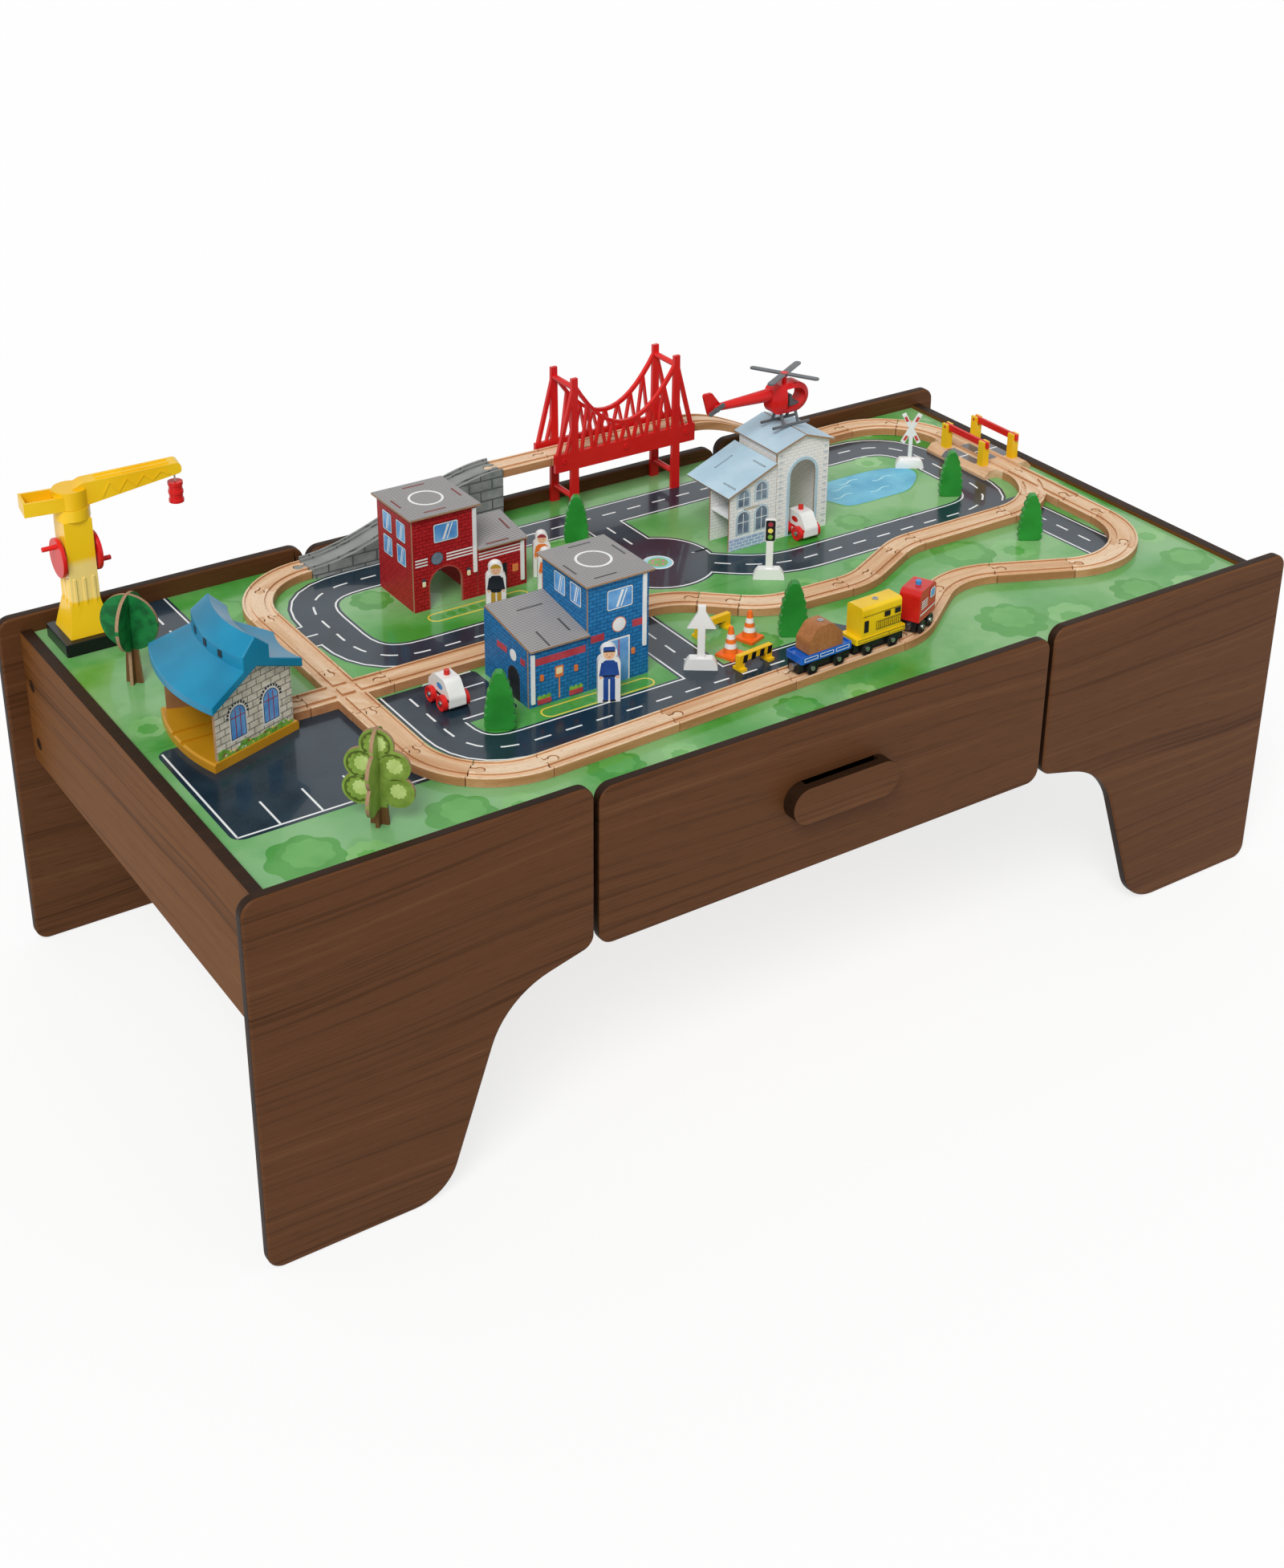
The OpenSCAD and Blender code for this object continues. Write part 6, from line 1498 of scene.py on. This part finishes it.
finish("lamp_red_plastic", plastic("c8201c", "d93326", 0.2))
for node, x, y, pane, band in (("police_car", -345.6, -78.96, "lamp_blue_plastic", "black_print"),
                               ("ambulance", 263.5, 67.71, "red_wagon_paint", "red_wagon_paint")):
    dress(node, 1.2, ["white_toy_paint", "lamp_red_plastic"], car_rule, segments=3)
    for k, side in enumerate(both_sides(stand(x, y, CAR_TURN), HALF_CAR)):
        prints(node, side, [
            ("%s_pane_%d" % (node, k), [drop(-4 if k else 4, 25, 13, 10)], pane, 0.15),
            ("%s_band_%d" % (node, k), [oblong(0, 14.5, 46, 3.4, 0.8)], band, 0.15)])
print("cars printed")

# %% [markdown]
# ## Helicopter
# The cabin is a red moulded bubble with a large opening, a grey seat inside, grey skids and grey rotor blades. The
# CAD cabin is a flat-sided slice, so its copy is cut into a grid of planes and the sides are pressed onto a
# bubble: the further a point lies from the cabin's middle, the closer it comes to the middle plane. The opening's
# rear edge is drawn back in the same loop.

# %% Helicopter
CABIN_Y = 123.9
CABIN = Vector((267.5, CABIN_Y, 609)) * MM
SKID_TOP, ROTOR_X, HUB_R = 0.5885, 263.5, 6.2
body = merged_copy("helicopter_body")
cuts = [((x * MM, 0, 0), (1, 0, 0)) for x in range(-27, 28, 3)]
cuts += [((0, 0, z * MM), (0, 0, 1)) for z in range(-18, 19, 3)]
for spot, across in cuts:
    bpy.ops.mesh.select_all(action="SELECT")
    bpy.ops.mesh.bisect(plane_co=CABIN + Vector(spot), plane_no=across)
bpy.ops.object.mode_set(mode="OBJECT")
pressed = 0
for v in body.data.vertices:
    away = (v.co - CABIN) / MM
    if abs(away.x) < 29.5 and abs(away.z) < 20.5 and abs(away.y) > 14:
        far = min(1, (away.x / 30) ** 2 + (away.z / 21) ** 2)
        v.co.y = CABIN.y + math.copysign(15 * math.sqrt(1 - 0.62 * far), away.y) * MM
        pressed += 1
    if -27 < away.x < 22.6 and abs(away.y) < 16.5 and abs(away.z) < 19:
        share = 1 + away.x / 27 if away.x < 0 else 1 - away.x / 22.6
        v.co.x -= 8 * share * min(1, (19 - abs(away.z)) / 5.4) * MM
tool(body, "BEVEL", width=1.8 * MM, segments=3, limit_method="ANGLE", angle_limit=math.radians(34))
smoothed(body)
for paint in ("red_plastic", "grey_plastic"):
    body.data.materials.append(PAINT[paint])
for face in body.data.polygons:
    face.material_index = int(face.center.z < SKID_TOP)
carry(body, "helicopter_body", True)
seat = [(1, -13.4), (17, -13.4), (17, -9.5), (7, -9), (4.5, 3), (1, 3)]
cut_out("helicopter_seat", [seat], Matrix.Translation(CABIN) @ wall(0, 7, 0), "grey_plastic", "helicopter_body",
        14, 0, 0.6)
rotor = dress("helicopter_rotor", 0.35, ["grey_plastic", "red_plastic"])
for face in rotor.data.polygons:
    away = face.center / MM - Vector((ROTOR_X, CABIN_Y, 0))
    face.material_index = int(math.hypot(away.x, away.y) < HUB_R)
dress("helicopter_tail_rotor", 0.3, ["grey_plastic"])
print("bubble:", pressed, "points pressed")

# %% [markdown]
# ## Trees
# The firs are sawn from a board and painted all over. The two card trees have a printed crown and trunk: the print
# changes from bark to leaves where the crown begins, and the raw card shows along the outline. A line of the table
# says at which height a crown begins.

# %% Tree finishes
def fir_paint(place):
    tone = place.noise(26, 3)
    fibre = place.stretched(500, 500, 60).noise(1, 2)
    return {"Base Color": tone.rise(0.3, 0.7).paint(ink("237f2b"), ink("2f9338")), "Roughness": 0.34 + 0.12 * fibre,
            "Normal": fibre.bump(0.08, 0.0004), "Coat Weight": 0.15, "Coat Roughness": 0.2}


def card_tree(leaf, shade, start):
    def recipe(place):
        z = place.axis(2)
        leaves = place.noise(75, 3)
        crown = (z + leaves * 0.004).rise(start, start + 0.0015)
        green = leaves.rise(0.35, 0.65).paint(ink(leaf), ink(shade))
        bark = place.stretched(260, 260, 30).noise(1, 2).paint(ink("5a3c22"), ink("7f5936"))
        return {"Base Color": crown.paint(bark, green), "Roughness": 0.45 + 0.1 * leaves}
    return recipe


finish("fir_green_paint", fir_paint)
stock(card_tree, """
    dark_tree_print 0e5a2b 187a3c 0.474
    leafy_tree_print 76903a 8aa54a 0.452
""")
stock(flat_print, """
    leafy_tree_light_print b3c873 c6d78c 90
    leafy_tree_dark_print 4a5a20 5d6d2b 90
""")
print(len(PAINT), "finishes so far")

# %% [markdown]
# All trees are one node, so a rule tells them apart by their place. The sides of the firs are rows of scallops, which
# catch the light on the sawn edge, while the node's firs have plain steps. Those are taken out of the copy, and the
# firs are drawn anew in their places from one outline.

# %% Trees and firs
FIRS_FROM, LEAFY_FROM = -480, -580  # x in mm: the round tree, the leafy one and then the firs


def tree_rule(face, main, low, high):
    x = (low[0] + high[0]) / 2
    if x > FIRS_FROM:
        return 0
    if abs(face.normal.z) > 0.06:
        return 3
    return 1 if x < LEAFY_FROM else 2


trees = dress("trees", 0.5, ["fir_green_paint", "dark_tree_print", "leafy_tree_print", "raw_card_edge"], tree_rule)


def fir_outline(h, w, tiers=7, steps=5):
    """Scalloped, from the foot up one side and down the other."""
    side = []
    for k in range(tiers * steps + 1):
        share = k / (tiers * steps)
        reach = w / 2 * np.interp(share, (0, 0.08, 0.25, 0.6, 0.85, 1), (0.86, 0.98, 1.0, 0.82, 0.55, 0.24))
        side.append((reach * (0.82 + 0.18 * abs(math.sin(math.pi * tiers * share)) ** 0.6), h * share))
    return side + [(-x, z) for x, z in reversed(side)]


FIR_T, FIR_TURN = 11, -30
choose(trees, lambda face: face.center.x > FIRS_FROM * MM)
bpy.ops.mesh.delete(type="FACE")
bpy.ops.object.mode_set(mode="OBJECT")
for k, (x, y, h) in enumerate(((-325, -161, 72), (81, -158, 72), (4, 207, 65), (514, 58, 65), (508, -107, 65))):
    middle = stand(x, y, FIR_TURN) @ wall(0, FIR_T / 2, 0)
    fir = cut_out("fir_%d" % k, [fir_outline(h, h / 2)], middle, "fir_green_paint", "trees", FIR_T, 0, 0.9)
    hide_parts("trees")
print("card trees have", len(trees.data.polygons), "faces, and a fir", len(fir.data.polygons))

# %% [markdown]
# The leafy tree's crown is printed with five round clumps of leaves on each of its four half cards. A dark rim,
# leaves and a lighter top are three prints, one above the other.

# %% Clumps of leaves
crowns = [(-20, 40), (20, 40), (-17, 69), (17, 69), (0, 93)]
for k, turn in enumerate((45, 135, 225, 315)):
    card = stand(-526, -262, turn) @ wall(0, -2, 0)
    rims = [disc(x, z, 31, 30) for x, z in crowns]
    cut_out("leafy_tree_rims_%d" % k, rims, card, "leafy_tree_dark_print", "trees", 0.1)
    for j, (paint, lift) in enumerate((("leafy_tree_print", 0.14), ("leafy_tree_light_print", 0.18))):
        leaves = [leafy(x + 2 * j, z + 1.5 * j, (27 - 9 * j) / 2, 10) for x, z in crowns]
        cut_out("leafy_tree_leaves_%d_%d" % (k, j), leaves, card, paint, "trees", lift)
print(len(crowns), "clumps on each half card")

# %% [markdown]
# ## Road furniture
# Signs are white plastic on a half-round foot. Cones have orange and white bands, which follow the height. The
# barriers are yellow with black slanting blocks. They share one node, so the places of the cones and the barriers
# tell which solid gets which finish.

# %% Cones and barriers
def banded(place):
    z = place.axis(2)
    tone = place.noise(40, 2)
    bands = [z.rise(low, low + 0.0005) - z.rise(high, high + 0.0005)
             for low, high in ((0.4415, 0.4475), (0.4530, 0.4590))]
    colour = tone.rise(0.3, 0.7).paint(ink("f0661a"), ink("f77a2c"))
    return {"Base Color": (bands[0] + bands[1]).paint(colour, ink("f0efec")), "Roughness": 0.3 + 0.1 * tone,
            "Normal": tone.bump(0.05, 0.0006)}


finish("cone_banded_plastic", banded)
CONES, BARRIERS = ((32, -137), (-12, -159)), ((4, -100), (-1, -192))


def furniture_rule(face, main, low, high):
    x, y = (low[0] + high[0]) / 2, (low[1] + high[1]) / 2 - MIDDLE_Y
    if any(abs(x - cone[0]) + abs(y - cone[1]) < 20 for cone in CONES):
        return 1
    return 2 if any(abs(x - bar[0]) + abs(y - bar[1]) < 12 for bar in BARRIERS) else 0


furniture = dress("road_furniture", 0.5, ["white_plastic", "cone_banded_plastic", "yellow_plastic"], furniture_rule)
node = "road_furniture"
blocks = [[(a - 3, 9.5), (a + 3.5, 9.5), (a + 5, 19), (a - 1.5, 19)] for a in (-18, -5, 8, 20)]
for n, (x, y) in enumerate(BARRIERS):
    side_prints(node, stand(x, y, 6), 3.5, [("barrier_blocks_%d" % n, blocks, "black_print", 0.12)])
print(len(CONES), "cones and", len(BARRIERS), "barriers")

# %% [markdown]
# The traffic light has three lamps in a dark box on both sides. The crossing sign is an open cross on a thin stem,
# while the node has one plate. So the plate is cut off above its foot, and the stem and the two arms are drawn anew.

# %% Traffic light and crossing sign
SIGN_X, SIGN_Y, SIGN_TURN, SIGN_FOOT_TOP = 530, 164, -35, 0.444
sign = Vector((SIGN_X, SIGN_Y + MIDDLE_Y)) * MM
choose(furniture, lambda face: (face.center.xy - sign).length < 0.03)
bpy.ops.mesh.bisect(plane_co=(0, 0, SIGN_FOOT_TOP), plane_no=(0, 0, 1), use_fill=True, clear_outer=True)
bpy.ops.object.mode_set(mode="OBJECT")
for k, side in enumerate(both_sides(stand(150, -17, SIGN_TURN), 2.5)):
    cut_out("traffic_light_box_%d" % k, [oblong(0, 67, 12, 28, 2)], side, "black_print", node, 0.2)
    for j, (paint, z) in enumerate((("window_bar_red", 75.5), ("bloom_yellow_print", 67), ("leaf_print", 58.5))):
        cut_out("traffic_light_lamp_%d_%d" % (k, j), [disc(0, z, 6.4, 20)], side, paint, node, 0.5, 0.1, 0.15)
cross_sign, CROSS_Z = stand(SIGN_X, SIGN_Y, SIGN_TURN), 59
stem = cross_sign @ wall(0, 2.4, 0)
cut_out("crossing_sign_stem", [oblong(0, 36, 5.4, 48)], stem, "white_plastic", node, 4.8, 0, 0.4)
CROSS = [(math.cos(math.radians(a)), math.sin(math.radians(a))) for a in (62, 118)]
for k, (u, v) in enumerate(CROSS):
    arm = ribbon([(u * s, CROSS_Z + v * s) for s in (-24, 24)], 6)
    cut_out("crossing_sign_arm_%d" % k, [arm], cross_sign @ wall(0, 2.5 - 0.05 * k, 0), "white_plastic", node,
            5 - 0.1 * k, 0, 0.4)
finish("sign_stripe_red", flat_print("c23a34", "d04c44"))
ends = [ribbon([(s * u * r, CROSS_Z + s * v * r) for r in (12, 20)], 3.8) for u, v in CROSS for s in (-1, 1)]
side_prints(node, cross_sign, 2.5, [("crossing_sign_stripes", ends, "sign_stripe_red", 0.12)])
print("crossing sign has", len(ends), "red ends")

# %% [markdown]
# ## Figures
# The four figures are white blocks with a person printed on the front: plain doll faces and clothes of common
# trades. One helper draws a person from head to shoes in shares of the figure's height.

# %% A printed person
finish("doll_skin_print", flat_print("e6b48c", "eebf99"))
dress("figures", 1.0, ["white_toy_paint"], segments=3)


def person(tag, place, h, coat, legs, hair, cap=None):
    pair = (-1, 1)
    rows = [
        ("shoes", [oblong(s * 0.055, 0.03, 0.085, 0.04, 0.015) for s in pair], "black_print", 0.10),
        ("legs", [oblong(s * 0.05, 0.22, 0.075, 0.36, 0.02) for s in pair], legs, 0.14),
        ("arms", [ribbon([(s * 0.09, 0.66), (s * 0.125, 0.44)], 0.055) for s in pair], coat, 0.16),
        ("hands", [disc(s * 0.125, 0.42, 0.05, 14) for s in pair], "doll_skin_print", 0.18),
        ("coat", [oblong(0, 0.545, 0.19, 0.31, 0.05)], coat, 0.22),
        ("belt", [oblong(0, 0.44, 0.185, 0.025)], "black_print", 0.26),
        ("head", [disc(0, 0.80, 0.17, 26)], "doll_skin_print", 0.26),
        ("hair", [[(x, z) for x, z in disc(0, 0.81, 0.19, 26) if z > 0.815]], hair, 0.30)]
    if cap:
        rows += [("cap", [oblong(0, 0.885, 0.18, 0.07, 0.03)], cap, 0.34),
                 ("peak", [oblong(0, 0.848, 0.14, 0.018, 0.008)], "black_print", 0.38)]
    rows += [("eyes", [disc(s * 0.035, 0.795, 0.016, 10) for s in pair], "black_print", 0.30),
             ("mouth", [ribbon([(-0.02, 0.757), (0, 0.75), (0.02, 0.757)], 0.008)], "window_bar_red", 0.30)]
    front = place @ wall(0, -5.5, 0)
    for name, loops, paint, thick in rows:
        full_size = [[(x * h * 1.06, z * h * 1.07) for x, z in loop] for loop in loops]
        cut_out("figure_%s_%s" % (tag, name), full_size, front, paint, "figures", thick)


print(len(PAINT), "finishes so far")

# %% [markdown]
# Each figure has its own height and clothes. A row names the coat, the legs and the hair, and the officer also has a
# cap.

# %% Four figures
stock(flat_print, """
    cloth_blue_print 1c3f86 2a529c
    cloth_dark_print 1b2026 2a3038
    cloth_ochre_print b08a2c c29c3e
    cloth_orange_print e0641c ec7a30
""")
FIGURE_TURN = -25
BLUE, DARK, OCHRE, ORANGE = ["cloth_%s_print" % colour for colour in ("blue", "dark", "ochre", "orange")]
for tag, x, y, h, clothes in (("officer", -190.1, -172, 72, (BLUE, BLUE, DARK, BLUE)),
                              ("firefighter", -185.8, 87.5, 68.4, (DARK, OCHRE, OCHRE)),
                              ("driver", -103.7, 105.8, 57.6, (ORANGE, ORANGE, DARK)),
                              ("medic", -86.4, 144.6, 61.2, (ORANGE, DARK, "window_bar_red"))):
    person(tag, stand(x, y, FIGURE_TURN), h, *clothes)
print("four figures printed")

# %% [markdown]
# ## Sizes
# The finished scene must fill the same box as the CAD model, because a skin or a print that stuck out would change
# the part's size.
